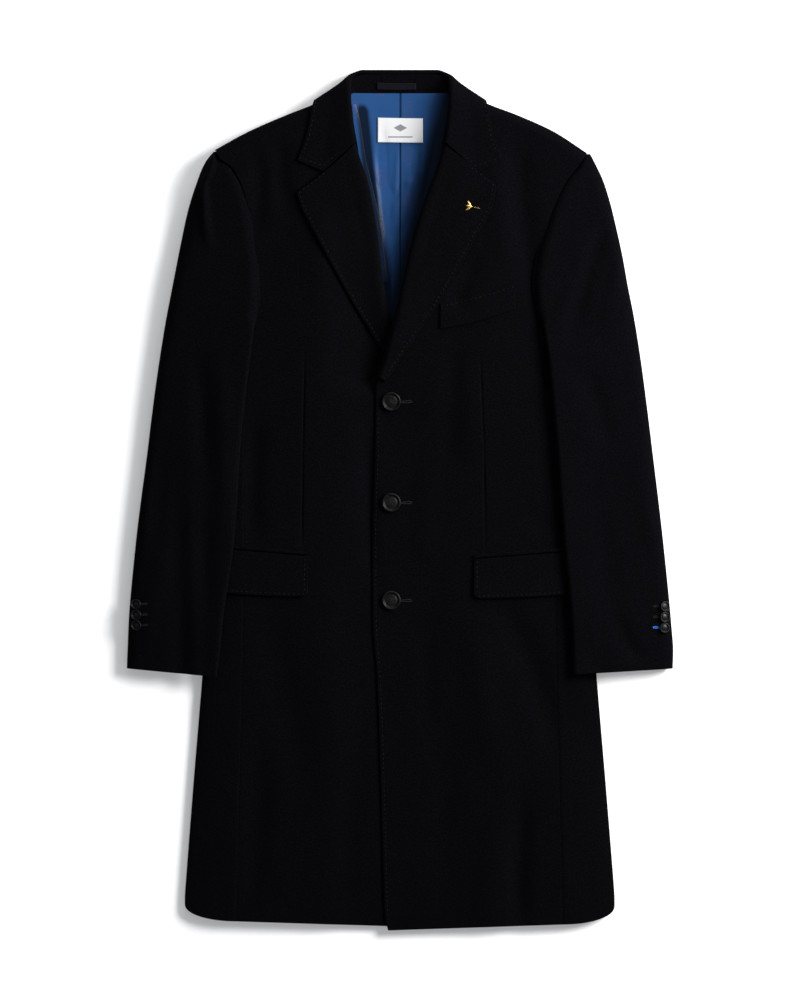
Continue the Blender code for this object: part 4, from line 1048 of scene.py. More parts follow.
def lining_silk():
    """Blue jacquard silk with nested ovals in half-drop rows, a thin dark centre seam, and painted shade at
    the neck: a shadow band beside the right roll, a shaded left side and darker low down.
    """
    paint = Paint("coat_lining_silk")
    x, y, _ = paint.parts(paint.place())
    column = x / MOTIF_COLUMN + 0.2
    lift = column.math("FLOOR").math("MODULO", 2.0).math("ABSOLUTE") * 0.5
    across = (column.math("FRACT") - 0.5) * MOTIF_COLUMN
    along = ((y / MOTIF_ROW + lift).math("FRACT") - 0.5) * MOTIF_ROW
    petal = ((across / MOTIF_OUTER[0]) ** 2.0 + (along / MOTIF_OUTER[1]) ** 2.0).math("SQRT")
    heart = ((across / MOTIF_INNER[0]) ** 2.0 + (along / MOTIF_INNER[1]) ** 2.0).math("SQRT")
    outline = 1 - paint.ramp((petal - 1).math("ABSOLUTE"), 0.03, 0.1)
    centre = 1 - paint.ramp((heart - 1).math("ABSOLUTE"), 0.07, 0.2)
    motif = outline.math("MAXIMUM", centre)
    # Painted shade: a dark band for the shadow in the gap beside the right front's roll, the wearer's left
    # side darkened for the shadow of the left lapel's roll, and darker low in the opening between the lapels.
    # The dark centre seam is the seam's own colour.
    y_up = y - (anchor()[1] + LINING_LEVEL)
    shadow_band_width = PAINTED_SHADOW_WIDTH + (y_up * PAINTED_SHADOW_WIDENS).math("MAXIMUM", 0.0)
    fold = (x + PAINTED_SHADOW_PLACE + y_up * PAINTED_SHADOW_LEAN) / shadow_band_width
    shade_left = (fold * fold * -1.0).math("EXPONENT") * paint.ramp(y_up, 0.086, 0.07)
    shade_right = paint.ramp(x - y_up * 0.26, 0.016, 0.037)
    shaded = paint.ramp(shade_left, 0.05, 0.7).math("MAXIMUM", shade_right)
    shaded = shaded.math("MAXIMUM", paint.ramp(y_up, -0.1, -0.2))
    seam = 1 - paint.ramp(x.math("ABSOLUTE"), 0.0004, 0.0011)
    weft = paint.noise(0.0006, 2.0, 0.5, stretch=(0.12, 1, 1))
    cloud = paint.noise(0.03, 2.0, 0.5)
    ground = paint.mix(cloud * 0.5, colours().lining, tuple(c * 0.45 for c in colours().lining))
    woven = paint.mix(motif * 0.45, ground, colours().motif)
    shade_and_seam_colour = tuple(c * SHADE_FLOOR for c in colours().lining)
    shade = paint.mix(shaded.math("MAXIMUM", seam) * SHADE_DEPTH, woven, shade_and_seam_colour)
    rough = 0.34 + 0.1 * weft + 0.1 * motif
    return paint.finish(weft * 0.5 + motif * 0.5, 0.0002, 0.6, base_color=shade, roughness=rough,
                        specular_ior_level=0.05, sheen_weight=0.005)


def label_weave():
    """White damask label with a woven border, a plain lozenge and a plain bar."""
    paint = Paint("coat_label_weave")
    low, high = (Vector(corner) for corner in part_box("neck_label"))
    x, y, _ = paint.parts(paint.place())
    side = ((x - (low.x + high.x) / 2).math("ABSOLUTE") * 2 / (high.x - low.x))
    end = ((y - (low.y + high.y) / 2).math("ABSOLUTE") * 2 / (high.y - low.y))
    edge = (side > 0.94).math("MAXIMUM", end > 0.9)
    across = (x - (low.x + high.x) / 2).math("ABSOLUTE")
    above = y - (low.y + high.y) / 2
    lozenge = (across / 0.0085 + (above - 0.003).math("ABSOLUTE") / 0.0046) < 1
    bar = (across < 0.0155) * ((above + 0.0085).math("ABSOLUTE") < 0.0008)
    inner = lozenge.math("MAXIMUM", bar)
    thread = (x / 0.0005).math("SINE") * (y / 0.0004).math("SINE") * 0.5 + 0.5
    mottle = paint.noise(0.002, 2.0)
    shade = paint.mix(edge * 0.12 + inner * 0.85, colours().label, colours().label_edge)
    return paint.finish(thread * 0.6 + mottle, 0.0002, 0.6, base_color=shade, roughness=0.6 + 0.2 * mottle)


def loop_satin():
    """Purple-navy satin, ribbed along its length."""
    paint = Paint("coat_loop_satin")
    ribs = paint.noise(0.0007, 2.0, stretch=(0.08, 1, 1))
    shade = paint.mix(ribs * 0.5, colours().loop, tuple(2.6 * c for c in colours().loop))
    return paint.finish(ribs, 0.0002, 0.5, base_color=shade, roughness=0.5 + 0.2 * ribs,
                        sheen_weight=0.03, specular_ior_level=0.04)


def horn_button():
    """Polished dark horn with faint grey streaks."""
    paint = Paint("coat_horn_button")
    streaks = paint.noise(0.004, 5.0, 0.62, stretch=(0.5, 1.6, 1), turn=0.6)
    mask = paint.ramp(streaks, 0.48, 0.72)
    shade = paint.mix(mask * 0.55, colours().horn, (0.006, 0.0058, 0.0056))
    return paint.finish(streaks, 0.0001, 0.25, base_color=shade, roughness=0.34 + 0.16 * mask,
                        specular_ior_level=0.1, coat_weight=0.01)


def gilt_pin():
    """Gold-coloured metal, softly polished."""
    paint = Paint("coat_gilt_pin")
    brushed = paint.noise(0.0009, 3.0, 0.6, stretch=(1, 3, 1))
    return paint.finish(brushed, 0.0001, 0.4, base_color=paint.mix(brushed, colours().gilt, (0.6, 0.36, 0.1)),
                        roughness=0.2 + 0.2 * brushed, metallic=1.0)


def sewing_thread(name, colour):
    """Twisted thread with a soft lustre."""
    paint = Paint(name)
    twist = paint.noise(0.0005, 2.0)
    shade = paint.mix(twist, colour, tuple(2.2 * c for c in colour))
    return paint.finish(twist, 0.0001, 0.5, base_color=shade,
                        roughness=0.55 + 0.2 * twist, sheen_weight=0.03, specular_ior_level=0.15)


def studio_floor():
    paint = Paint("floor")
    cloud = paint.noise(0.4, 2.0)
    return paint.finish(base_color=paint.mix(cloud * 0.03, colours().floor, (0.56, 0.56, 0.56)),
                        roughness=0.75 + 0.1 * cloud, emission_color=(1, 1, 1), emission_strength=0.22)


MAKERS = {"wool_melton": wool_melton, "lining_silk": lining_silk, "label_weave": label_weave,
          "loop_satin": loop_satin, "horn_button": horn_button, "gilt_pin": gilt_pin}


MADE = {}


def finish_of(slot):
    """The material of a record slot, made the first time that it is asked for."""
    if slot not in MADE:
        MADE[slot] = MAKERS[slot]()
    return MADE[slot]


def anchor():
    """From the tables' frame to the frame's own: the centre seam, the collar's top fold and the floor."""
    centre = (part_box("back_left")[0].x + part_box("back_right")[1].x) / 2
    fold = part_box("collar_leaf")[1].y - LEAF[-1].roll_y * MM
    return np.array([centre, fold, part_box("back_left")[0].z])


TUCK_START = 0.97
# How far a side body's front edge turns in and down under the front, in millimetres.
ALLOWANCE_IN = 2.6
ALLOWANCE_DOWN = 2.0
# A sleeve's armhole edge: its fall all along and the shares of it that go in and down.
TUCK_FALL = 0.7
TUCK_IN = 0.85
TUCK_DOWN = 0.55
# The stretch of the armhole, in y, over which the fall grows to its full reach.
TUCK_GROWS = (214, 244)
# The lining half that passes under the other: the share of its width that does, and how far and how deep.
LAP_SHARE = 0.04
LAP_REACH = 1.8
LAP_DEPTH = 1.05
LAP_STEEPNESS = 2.2


def run_along(points, axis):
    """Distance run along each mesh line, in millimetres."""
    steps = np.linalg.norm(np.diff(points, axis=axis), axis=-1)
    start = np.zeros_like(np.take(steps, [0], axis=axis))
    return np.cumsum(np.concatenate([start, steps], axis=axis), axis=axis)


def mesh_lines(length, cell, extra=()):
    """Places from 0 to 1 for mesh lines one cell apart, closer at the two edges, and at the extras."""
    rim = np.array([0.3, 0.75, 1.4, 2.6]) / length
    inner = np.linspace(0, 1, max(3, int(length / cell) + 1))
    inner = inner[(inner > rim[-1] * 1.4) & (inner < 1 - rim[-1] * 1.4)]
    return np.unique(np.concatenate([[0], rim, inner, 1 - rim, [1], np.asarray(extra, float)]))


def shell(name, face, thickness, slot, cell=1.0, extra_us=(), looks_down=False,
          rounding=1.0):
    """A thin closed shell of cloth on the surface, with rounded edges and its own map."""
    coarse = face(*np.meshgrid(np.linspace(0.004, 0.996, 40), np.linspace(0.004, 0.996, 60)))
    width = np.max(run_along(coarse, 1)[:, -1])
    length = np.max(run_along(coarse, 0)[-1])
    step = sizes().cell / MM * cell
    u, v = np.meshgrid(mesh_lines(width, step, extra_us), mesh_lines(length, step))
    points = face(u, v)
    nudge = 1e-4
    normal = np.cross(face(u + nudge, v) - face(u - nudge, v), face(u, v + nudge) - face(u, v - nudge))
    normal /= np.linalg.norm(normal, axis=-1, keepdims=True)
    middle = normal[normal.shape[0] // 2, normal.shape[1] // 4]
    if (middle[2] < 0) != looks_down:
        normal = -normal
    run_u, run_v = run_along(points, 1), run_along(points, 0)
    for border, inner in ((np.s_[:, 0], np.s_[:, 1]), (np.s_[:, -1], np.s_[:, -2]),
                          (np.s_[0], np.s_[1]), (np.s_[-1], np.s_[-2])):
        inward = points[inner] - points[border]
        size = np.linalg.norm(inward, axis=-1, keepdims=True)
        points[border] += inward / size * np.minimum(SEAM_GAP / 2, size * 0.6)
    rim = np.minimum(np.minimum(run_u, run_u[:, -1:] - run_u), np.minimum(run_v, run_v[-1:] - run_v))
    round_off = np.clip(1 - rim / (sizes().edge_round / MM * rounding), 0, 1)
    sink = (thickness * 0.42 * (1 - np.sqrt(1 - round_off**2)))[..., None]
    outer = points - normal * sink
    inner = points - normal * (thickness - sink)
    area = 0.5 * (grid_area(outer) + grid_area(inner))
    obj = closed_grid(name, outer, inner, run_u, run_v)
    obj.data.materials.append(finish_of(slot))
    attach(obj, "root")
    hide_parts(name)
    return obj


def grid_area(points):
    first = np.cross(points[1:, :-1] - points[:-1, :-1], points[:-1, 1:] - points[:-1, :-1])
    second = np.cross(points[1:, :-1] - points[1:, 1:], points[:-1, 1:] - points[1:, 1:])
    return float(np.linalg.norm(first, axis=-1).sum() + np.linalg.norm(second, axis=-1).sum()) / 2 * MM**2


def closed_grid(name, outer, inner, run_u, run_v):
    """A mesh of two grids of points joined round their borders, with a map in metres of cloth."""
    rows, columns = outer.shape[:2]
    count = rows * columns
    index = np.arange(count).reshape(rows, columns)
    a, b, c, d = index[:-1, :-1], index[:-1, 1:], index[1:, 1:], index[1:, :-1]
    top = np.stack([a, b, c, d], axis=-1).reshape(-1, 4)
    border = np.concatenate([index[0, :], index[1:, -1], index[-1, -2::-1], index[-2:0:-1, 0]])
    ahead = np.roll(border, -1)
    sides = np.stack([border, border + count, ahead + count, ahead], axis=-1)
    quads = np.concatenate([top, top[:, ::-1] + count, sides])
    places = np.concatenate([outer.reshape(-1, 3), inner.reshape(-1, 3)]) * MM + anchor()
    mesh = bpy.data.meshes.new(name)
    mesh.from_pydata(places.tolist(), [], quads.tolist())
    if signed_volume(places, quads) < 0:
        mesh.flip_normals()
    cloth = mesh.uv_layers.new(name="cloth")
    across_cloth = (run_u - run_u[:, -1:] / 2).reshape(-1) * MM
    plane = np.stack([across_cloth, run_v.reshape(-1) * MM], axis=-1)
    corners = np.zeros(len(mesh.loops), dtype=int)
    mesh.loops.foreach_get("vertex_index", corners)
    cloth.data.foreach_set("uv", plane[corners % count].astype(np.float32).reshape(-1))
    mesh.shade_smooth()
    obj = bpy.data.objects.new(f"cloth_{name}", mesh)
    bpy.context.scene.collection.objects.link(obj)
    return obj


def signed_volume(places, quads):
    p = places[quads]
    first = np.einsum("ij,ij->i", p[:, 0], np.cross(p[:, 1], p[:, 2]))
    second = np.einsum("ij,ij->i", p[:, 0], np.cross(p[:, 2], p[:, 3]))
    return float(first.sum() + second.sum())


def creased(face, creases, side=LEFT, upward=False):
    """A surface with these creases or darts pressed in; those of a lower face only lift it off the floor."""

    def laid(u, v):
        points = face(u, v)
        lift = pressed(creases, side * points[..., 0], points[..., 1])
        points[..., 2] += 0.7 * np.abs(lift) if upward else lift
        return points

    return laid


def lapped(face):
    """A lining half whose centre edge passes a little way under the other half."""

    def sewn(u, v):
        points = face(u, v)
        past = np.clip(1 - u / LAP_SHARE, 0, 1)
        points[..., 0] -= LAP_REACH * past
        points[..., 2] -= LAP_DEPTH * np.clip(past * LAP_STEEPNESS, 0, 1)
        return points

    return sewn


def allowance(face, side):
    """A side body whose front edge turns in under the front."""

    def sewn(u, v):
        past = np.clip(1 - u / (1 - TUCK_START), 0, 1)
        points = face(np.maximum((u - 1 + TUCK_START) / TUCK_START, 0), v)
        points[..., 0] -= side * past * ALLOWANCE_IN
        points[..., 2] -= past * ALLOWANCE_DOWN
        return points

    return sewn


def tucked(face, side, reach):
    """A top sleeve whose armhole edge turns in under the front, as a seam allowance does."""

    def sewn(u, v):
        past = np.clip((u - TUCK_START) / (1 - TUCK_START), 0, 1)
        points = face(np.minimum(u / TUCK_START, 1), v)
        fall = past * (TUCK_FALL + reach * ramp(points[..., 1], *TUCK_GROWS))
        points[..., 0] -= side * fall * TUCK_IN
        points[..., 2] -= fall * TUCK_DOWN
        return points

    return sewn


class BodyOperator(bpy.types.Operator):
    """Fronts, side bodies and back, laid and creased"""

    bl_idname = "overcoat.body"
    bl_label = "Body"

    def execute(self, context):
        cloth = sizes().cloth / MM
        for name, side in SIDES.items():
            front = creased(front_face(side)[0], DARTS[side])
            dart_lines = np.linspace(0.55, 0.655, 19)
            shell(f"front_{name}", front, cloth, "wool_melton", extra_us=dart_lines)
            shell(f"side_{name}", allowance(side_face(side)[0], side), cloth, "wool_melton",
                  extra_us=(0.01, 0.02, 1 - TUCK_START))
            back = creased(back_face(side)[0], BACK_CREASES, upward=True)
            shell(f"back_{name}", back, cloth, "wool_melton", cell=1.5, looks_down=True)
        return {"FINISHED"}


class SleevesOperator(bpy.types.Operator):
    """Top and under sleeves, lying over the body's sides"""

    bl_idname = "overcoat.sleeves"
    bl_label = "Sleeves"

    def execute(self, context):
        cloth = sizes().cloth / MM
        for name, side in SIDES.items():
            top = tucked(sleeve_face(side, True)[0], side, sizes().tuck / MM)
            shell(f"top_sleeve_{name}", top, cloth, "wool_melton", extra_us=(TUCK_START, 0.978, 0.986))
            under = creased(sleeve_face(side, False)[0], UNDER_CREASES, side, upward=True)
            shell(f"under_sleeve_{name}", under, cloth, "wool_melton", cell=1.2,
                  looks_down=True)
        return {"FINISHED"}


class LapelsOperator(bpy.types.Operator):
    """Lapels, rolled out over the fronts"""

    bl_idname = "overcoat.lapels"
    bl_label = "Lapels"

    def execute(self, context):
        for name, side in SIDES.items():
            shell(f"lapel_{name}", lapel_face(side)[0], FACING, "wool_melton", cell=0.8)
        return {"FINISHED"}


class CollarOperator(bpy.types.Operator):
    """Collar leaf, folded over all round, and the stand inside it"""

    bl_idname = "overcoat.collar"
    bl_label = "Collar"

    def execute(self, context):
        shell("collar_leaf", leaf_face(), COLLAR_CLOTH, "wool_melton", cell=0.6, looks_down=True)
        loop = shell("hanger_loop", patch_face("hanger_loop", on_stand, PATCH_CLOTH["loop"]),
                     PATCH_CLOTH["loop"], "loop_satin", cell=0.4)
        shell("collar_stand", stand_face, COLLAR_CLOTH - 0.4, "wool_melton", cell=0.6)
        return {"FINISHED"}


class LiningsOperator(bpy.types.Operator):
    """Silk linings that show in the neck, and the label sewn on them"""

    bl_idname = "overcoat.linings"
    bl_label = "Linings"

    def execute(self, context):
        for name, side in SIDES.items():
            half = back_lining_face(side)[0]
            shell(f"back_lining_{name}", lapped(half) if side == LEFT else half, LINING, "lining_silk",
                  cell=0.5, extra_us=(0.01, 0.02, 0.03, 0.04), rounding=0.1)
            shell(f"front_lining_{name}", front_lining_face(side)[0], LINING, "lining_silk", cell=0.6,
                  rounding=0.1)
        shell("neck_label", patch_face("neck_label", on_lining, PATCH_CLOTH["label"]),
              PATCH_CLOTH["label"], "label_weave", cell=0.5)
        return {"FINISHED"}


class PocketsOperator(bpy.types.Operator):
    """Chest welt, pocket flaps and the jettings above them"""

    bl_idname = "overcoat.pockets"
    bl_label = "Pockets"

    def execute(self, context):
        corner = (0.006, 0.012, 0.02, 0.03, 0.042, 0.056)
        welt = PATCH_CLOTH["welt"]
        shell("chest_welt", patch_face("chest_welt", on_body, welt), welt, "wool_melton", cell=0.6)
        for name in SIDES:
            jetting = PATCH_CLOTH["jetting"]
            lip = shell(f"jetting_{name}", patch_face(f"jetting_{name}", on_body, jetting), jetting,
                        "wool_melton", cell=0.6)
            flap = PATCH_CLOTH["flap"]
            shell(f"flap_{name}", patch_face(f"flap_{name}", on_body, flap), flap, "wool_melton", cell=0.6,
                  extra_us=corner)
        return {"FINISHED"}


class PinOperator(bpy.types.Operator):
    """Small gilt sprig pinned to the left lapel"""

    bl_idname = "overcoat.pin"
    bl_label = "Lapel pin"

    def execute(self, context):
        low, high = (np.array(corner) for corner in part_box("lapel_pin"))
        middle = (low + high) / 2
        shaped = bmesh.new()
        leaf(shaped, 9.0, 3.4, 0.0, 1.5, (-1.2, 0.0))
        leaf(shaped, 8.0, 3.0, 42.0, 1.3, (1.0, 0.6))
        leaf(shaped, 8.0, 3.0, -42.0, 1.3, (1.0, -0.6))
        leaf(shaped, 9.5, 1.0, 180.0, 1.1, (-1.0, 0.0))
        bmesh.ops.recalc_face_normals(shaped, faces=shaped.faces)
        mesh = bpy.data.meshes.new("gilt_sprig")
        shaped.to_mesh(mesh)
        shaped.free()
        mesh.transform(Matrix.Translation(Vector((middle[0], middle[1], low[2])))
                       @ Matrix.Rotation(math.radians(168), 4, "Z"))
        mesh.shade_smooth()
        obj = bpy.data.objects.new("gilt_sprig", mesh)
        context.scene.collection.objects.link(obj)
        mesh.materials.append(finish_of("gilt_pin"))
        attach(obj, "root")
        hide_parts("lapel_pin")
        return {"FINISHED"}


def leaf(shaped, length, width, turn, rise, start):
    """Adds a domed leaf with a raised midrib, pointing along turn from its start, in millimetres."""
    stations, ribs = 12, 8
    heading = Matrix.Rotation(math.radians(turn), 3, "Z")
    rings = []
    for k in range(stations + 1):
        t = k / stations
        half = width / 2 * math.sin(math.pi * min(max(t, 0.03), 0.97)) ** 0.75
        ring = []
        for r in range(ribs * 2):
            angle = 2 * math.pi * r / (ribs * 2)
            aside, up = half * math.cos(angle), math.sin(angle)
            crest = 0.45 * math.exp(-((aside / 0.3) ** 2)) if up > 0.5 else 0
            height = max(up, 0) * rise * (0.35 + 0.65 * math.sin(math.pi * t)) + crest * (1 - t)
            spot = heading @ Vector((length * t, aside, 0)) + Vector((*start, height))
            ring.append(shaped.verts.new(spot * MM))
        rings.append(ring)
    for first, second in zip(rings, rings[1:]):
        for r in range(ribs * 2):
            following = (r + 1) % (ribs * 2)
            shaped.faces.new((first[r], second[r], second[following], first[following]))
    shaped.faces.new(rings[0])
    shaped.faces.new(list(reversed(rings[-1])))


class ButtonsOperator(bpy.types.Operator):
    """Turned horn buttons with a raised rim, the thread crossed through their holes, and dark discs in the
    holes as painted shade
    """

    bl_idname = "overcoat.buttons"
    bl_label = "Buttons"

    def execute(self, context):
        horn = finish_of("horn_button")
        # The thread is darkened to a third: partly the navy thread's own colour, partly painted shade for the
        # dark discs in the holes that share its finish.
        thread = sewing_thread("dark_thread_and_hole_shade", tuple(0.3 * c for c in colours().thread))
        stitch_and_shade_mesh = bmesh.new()
        for name, node in sorted(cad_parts.items()):
            if "button" not in name:
                continue
            middle, up, radius, heights = seat_of(node)
            turned_button(context, name, middle, up, radius, heights, horn)
            reach = HOLE_CIRCLE * radius
            face = middle + up * (heights[0] + (heights[1] - heights[0]) * BUTTON_PROFILE[-1][1])
            cross_stitch(stitch_and_shade_mesh, face, up, reach)
        mesh = bpy.data.meshes.new("button_stitches_and_hole_shade")
        bmesh.ops.recalc_face_normals(stitch_and_shade_mesh, faces=stitch_and_shade_mesh.faces)
        stitch_and_shade_mesh.to_mesh(mesh)
        stitch_and_shade_mesh.free()
        mesh.shade_smooth()
        mesh.materials.append(thread)
        obj = bpy.data.objects.new("button_stitches_and_hole_shade", mesh)
        context.scene.collection.objects.link(obj)
        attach(obj, "root")
        return {"FINISHED"}


# A button from the middle of its back, out and over its rim, to the middle of its face: shares of its
# radius and of its thickness.
BUTTON_PROFILE = ((0, 0), (0.8, 0), (0.93, 0.12), (0.99, 0.4), (1, 0.66), (0.975, 0.88), (0.93, 0.985),
                  (0.88, 1), (0.83, 0.97), (0.79, 0.8), (0.76, 0.58), (0.71, 0.46), (0.66, 0.44), (0.6, 0.52),
                  (0.45, 0.63), (0.22, 0.68), (0, 0.69))
BUTTON_TURNS = 56
HOLE_CIRCLE = 0.17


def seat_of(node):
    """Middle, facing, radius and lowest and highest levels of a round flat node."""
    points = np.array([vertex.co for vertex in node.data.vertices])
    middle = points.mean(axis=0)
    axes = np.linalg.svd(points - middle, full_matrices=False)[2]
    up = Vector(axes[2] * np.sign(axes[2][2])).normalized()
    levels = (points - middle) @ np.array(up)
    aside = np.linalg.norm(points - middle - np.outer(levels, up), axis=1)
    return Vector(middle), up, float(aside.max()), (float(levels.min()), float(levels.max()))


def turned_button(context, name, middle, up, radius, heights, horn):
    across = Vector((1, 0, 0)).cross(up).normalized()
    along = up.cross(across)
    shaped = bmesh.new()
    rings = []
    for reach, level in BUTTON_PROFILE:
        centre = middle + up * (heights[0] + (heights[1] - heights[0]) * level)
        if reach == 0:
            rings.append([shaped.verts.new(centre)])
            continue
        turns = np.linspace(0, 2 * math.pi, BUTTON_TURNS, endpoint=False)
        rings.append([shaped.verts.new(centre + (across * math.cos(a) + along * math.sin(a)) * reach * radius)
                      for a in turns])
    for first, second in zip(rings, rings[1:]):
        for k in range(BUTTON_TURNS):
            after = (k + 1) % BUTTON_TURNS
            corners = [first[k % len(first)], first[after % len(first)], second[after % len(second)],
                       second[k % len(second)]]
            shaped.faces.new(list(dict.fromkeys(corners)))
    bmesh.ops.recalc_face_normals(shaped, faces=shaped.faces)
    mesh = bpy.data.meshes.new(name)
    shaped.to_mesh(mesh)
    shaped.free()
    mesh.shade_smooth()
    mesh.materials.append(horn)
    obj = bpy.data.objects.new(f"turned_{name}", mesh)
    context.scene.collection.objects.link(obj)
    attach(obj, "root")
    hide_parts(name)


def cross_stitch(shaped, face, up, reach):
    """Four dark discs in a square, painted shade standing in for the holes, and two crossed lengths of thread
    between them.
    """
    first = (Vector((1, 0, 0)).cross(up).normalized() + Vector((0.45, 0.2, 0))).normalized()
    first = (first - up * first.dot(up)).normalized()
    second = up.cross(first)
    for way in (first, second):
        aside = up.cross(way)
        for end in (-1, 1):
            # Each hole is a dark disc of the thread's finish, painted shade where the real hole is dark.
            hole = face + way * (end * reach) + up * 0.00012
            ring = [shaped.verts.new(hole + (aside * math.cos(a) + way * math.sin(a)) * reach * 0.42)
                    for a in np.linspace(0, 2 * math.pi, 14, endpoint=False)]
            foot = [shaped.verts.new(corner.co - up * 0.0006) for corner in ring]
            shaped.faces.new(ring)
            for k in range(14):
                shaped.faces.new((ring[k], ring[(k + 1) % 14], foot[(k + 1) % 14], foot[k]))
            shaped.faces.new(list(reversed(foot)))
        rings = []
        for t in np.linspace(-1, 1, 9):
            centre = face + way * (t * reach) + up * (0.0003 - 0.0009 * abs(t) ** 4)
            rings.append([shaped.verts.new(centre + (aside * math.cos(a) + up * math.sin(a)) * reach * 0.13)
                          for a in np.linspace(0, 2 * math.pi, 6, endpoint=False)])
        for one, other in zip(rings, rings[1:]):
            for k in range(6):
                shaped.faces.new((one[k], other[k], other[(k + 1) % 6], one[(k + 1) % 6]))
        shaped.faces.new(rings[0])
        shaped.faces.new(rings[-1])


def stitch_tree(name):
    """Geometry nodes that lay short rounded stitches along a line, turned by an angle from its way."""
    tree = bpy.data.node_groups.new(name, "GeometryNodeTree")
    tree.interface.new_socket("Line", in_out="INPUT", socket_type="NodeSocketGeometry")
    for label, kind in (("Pitch", "Float"), ("Length", "Float"), ("Thickness", "Float"), ("Turn", "Float"),
                        ("Thread", "Material")):
        tree.interface.new_socket(label, in_out="INPUT", socket_type=f"NodeSocket{kind}")
    tree.interface.new_socket("Stitches", in_out="OUTPUT", socket_type="NodeSocketGeometry")

    def add(kind, settings=None, **links):
        made = tree.nodes.new(kind)
        for key, setting in (settings or {}).items():
            setattr(made, key, setting)
        for key, value in links.items():
            socket = made.inputs[int(key[1:])] if key[1:].isdigit() else made.inputs[key.replace("_", " ")]
            if isinstance(value, bpy.types.NodeSocket):
                tree.links.new(value, socket)
            else:
                socket.default_value = value
        return made

    given = add("NodeGroupInput").outputs
    curve = add("GeometryNodeMeshToCurve", Mesh=given["Line"]).outputs[0]
    even = add("GeometryNodeResampleCurve", {"mode": "LENGTH"}, Curve=curve, Length=given["Pitch"]).outputs[0]
    tangent = add("GeometryNodeInputTangent").outputs[0]
    facing = add("GeometryNodeInputNamedAttribute", {"data_type": "FLOAT_VECTOR"}, Name="facing").outputs[0]
    stored = add("GeometryNodeStoreNamedAttribute", {"data_type": "FLOAT_VECTOR", "domain": "POINT"},
                 Geometry=even, Name="way", Value=tangent).outputs[0]
    points = add("GeometryNodeCurveToPoints", {"mode": "EVALUATED"}, Curve=stored).outputs[0]
    way = add("GeometryNodeInputNamedAttribute", {"data_type": "FLOAT_VECTOR"}, Name="way").outputs[0]
    turned = add("ShaderNodeVectorRotate", {"rotation_type": "AXIS_ANGLE"}, Vector=way, Axis=facing,
                 Angle=given["Turn"]).outputs[0]
    upright = add("FunctionNodeAlignRotationToVector", {"axis": "Z"}, Vector=facing).outputs[0]
    lying = add("FunctionNodeAlignRotationToVector", {"axis": "X", "pivot_axis": "Z"}, Rotation=upright,
                Vector=turned).outputs[0]
    bead = add("GeometryNodeMeshUVSphere", Segments=6, Rings=5, Radius=0.5).outputs[0]
    shape = add("ShaderNodeCombineXYZ", X=given["Length"], Y=given["Thickness"],
                Z=given["Thickness"]).outputs[0]
    jitter = add("FunctionNodeRandomValue", {"data_type": "FLOAT"}, i2=0.82, i3=1.18, Seed=7).outputs[1]
    size = add("ShaderNodeVectorMath", {"operation": "SCALE"}, i0=shape, Scale=jitter).outputs[0]
    laid = add("GeometryNodeInstanceOnPoints", Points=points, Instance=bead, Rotation=lying,
               Scale=size).outputs[0]
    real = add("GeometryNodeRealizeInstances", Geometry=laid).outputs[0]
    smooth = add("GeometryNodeSetShadeSmooth", Geometry=real).outputs[0]
    done = add("GeometryNodeSetMaterial", Geometry=smooth, Material=given["Thread"]).outputs[0]
    tree.links.new(done, add("NodeGroupOutput").inputs[0])
    return tree


def stitched(name, tree, lines, pitch, length, thickness, turn, material):
    """A plain mesh of stitches along these lines of (points, normals), in millimetres."""
    places = np.concatenate([points for points, _ in lines]) * MM + anchor()
    facing = np.concatenate([normals for _, normals in lines])
    edges, start = [], 0
    for points, _ in lines:
        edges += [(k, k + 1) for k in range(start, start + len(points) - 1)]
        start += len(points)
    mesh = bpy.data.meshes.new(f"{name}_line")
    mesh.from_pydata(places.tolist(), edges, [])
    stored = mesh.attributes.new("facing", "FLOAT_VECTOR", "POINT")
    stored.data.foreach_set("vector", facing.astype(np.float32).reshape(-1))
    line = bpy.data.objects.new(f"{name}_line", mesh)
    bpy.context.scene.collection.objects.link(line)
    nodes = line.modifiers.new("Stitches", "NODES")
    nodes.node_group = tree
    ids = {item.name: item.identifier for item in tree.interface.items_tree if item.in_out == "INPUT"}
    for label, value in (("Pitch", pitch), ("Length", length), ("Thickness", thickness),
                         ("Turn", turn), ("Thread", material)):
        nodes[ids[label]] = value
    bpy.context.view_layer.update()
    graph = bpy.context.evaluated_depsgraph_get()
    plain = bpy.data.meshes.new_from_object(line.evaluated_get(graph))
    bpy.data.objects.remove(line)
    plain.name = name
    if not plain.materials:
        plain.materials.append(material)
    obj = bpy.data.objects.new(name, plain)
    bpy.context.scene.collection.objects.link(obj)
    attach(obj, "root")
    return obj


def on_surface(face, us, vs, lift=0.12):
    """Points of a line on a surface, raised a little, and the way that the surface faces there."""
    us, vs = np.broadcast_arrays(np.asarray(us, float), np.asarray(vs, float))
    nudge = 1e-4
    normal = np.cross(face(us + nudge, vs) - face(us - nudge, vs),
                      face(us, vs + nudge) - face(us, vs - nudge))
    normal /= np.linalg.norm(normal, axis=-1, keepdims=True)
    normal = np.where(normal[..., 2:3] < 0, -normal, normal)
    return face(us, vs) + normal * lift, normal


def inset_line(face, inset, from_u, vs):
    """A line at an even distance inside the edge at u = from_u (0 or 1)."""
    vs = np.asarray(vs, float)
    edge = face(np.full_like(vs, from_u), vs)
    step = 0.01 if from_u < 0.5 else -0.01
    size = np.linalg.norm(face(np.full_like(vs, from_u + step), vs) - edge, axis=-1)
    return on_surface(face, from_u + step * inset / size, vs)


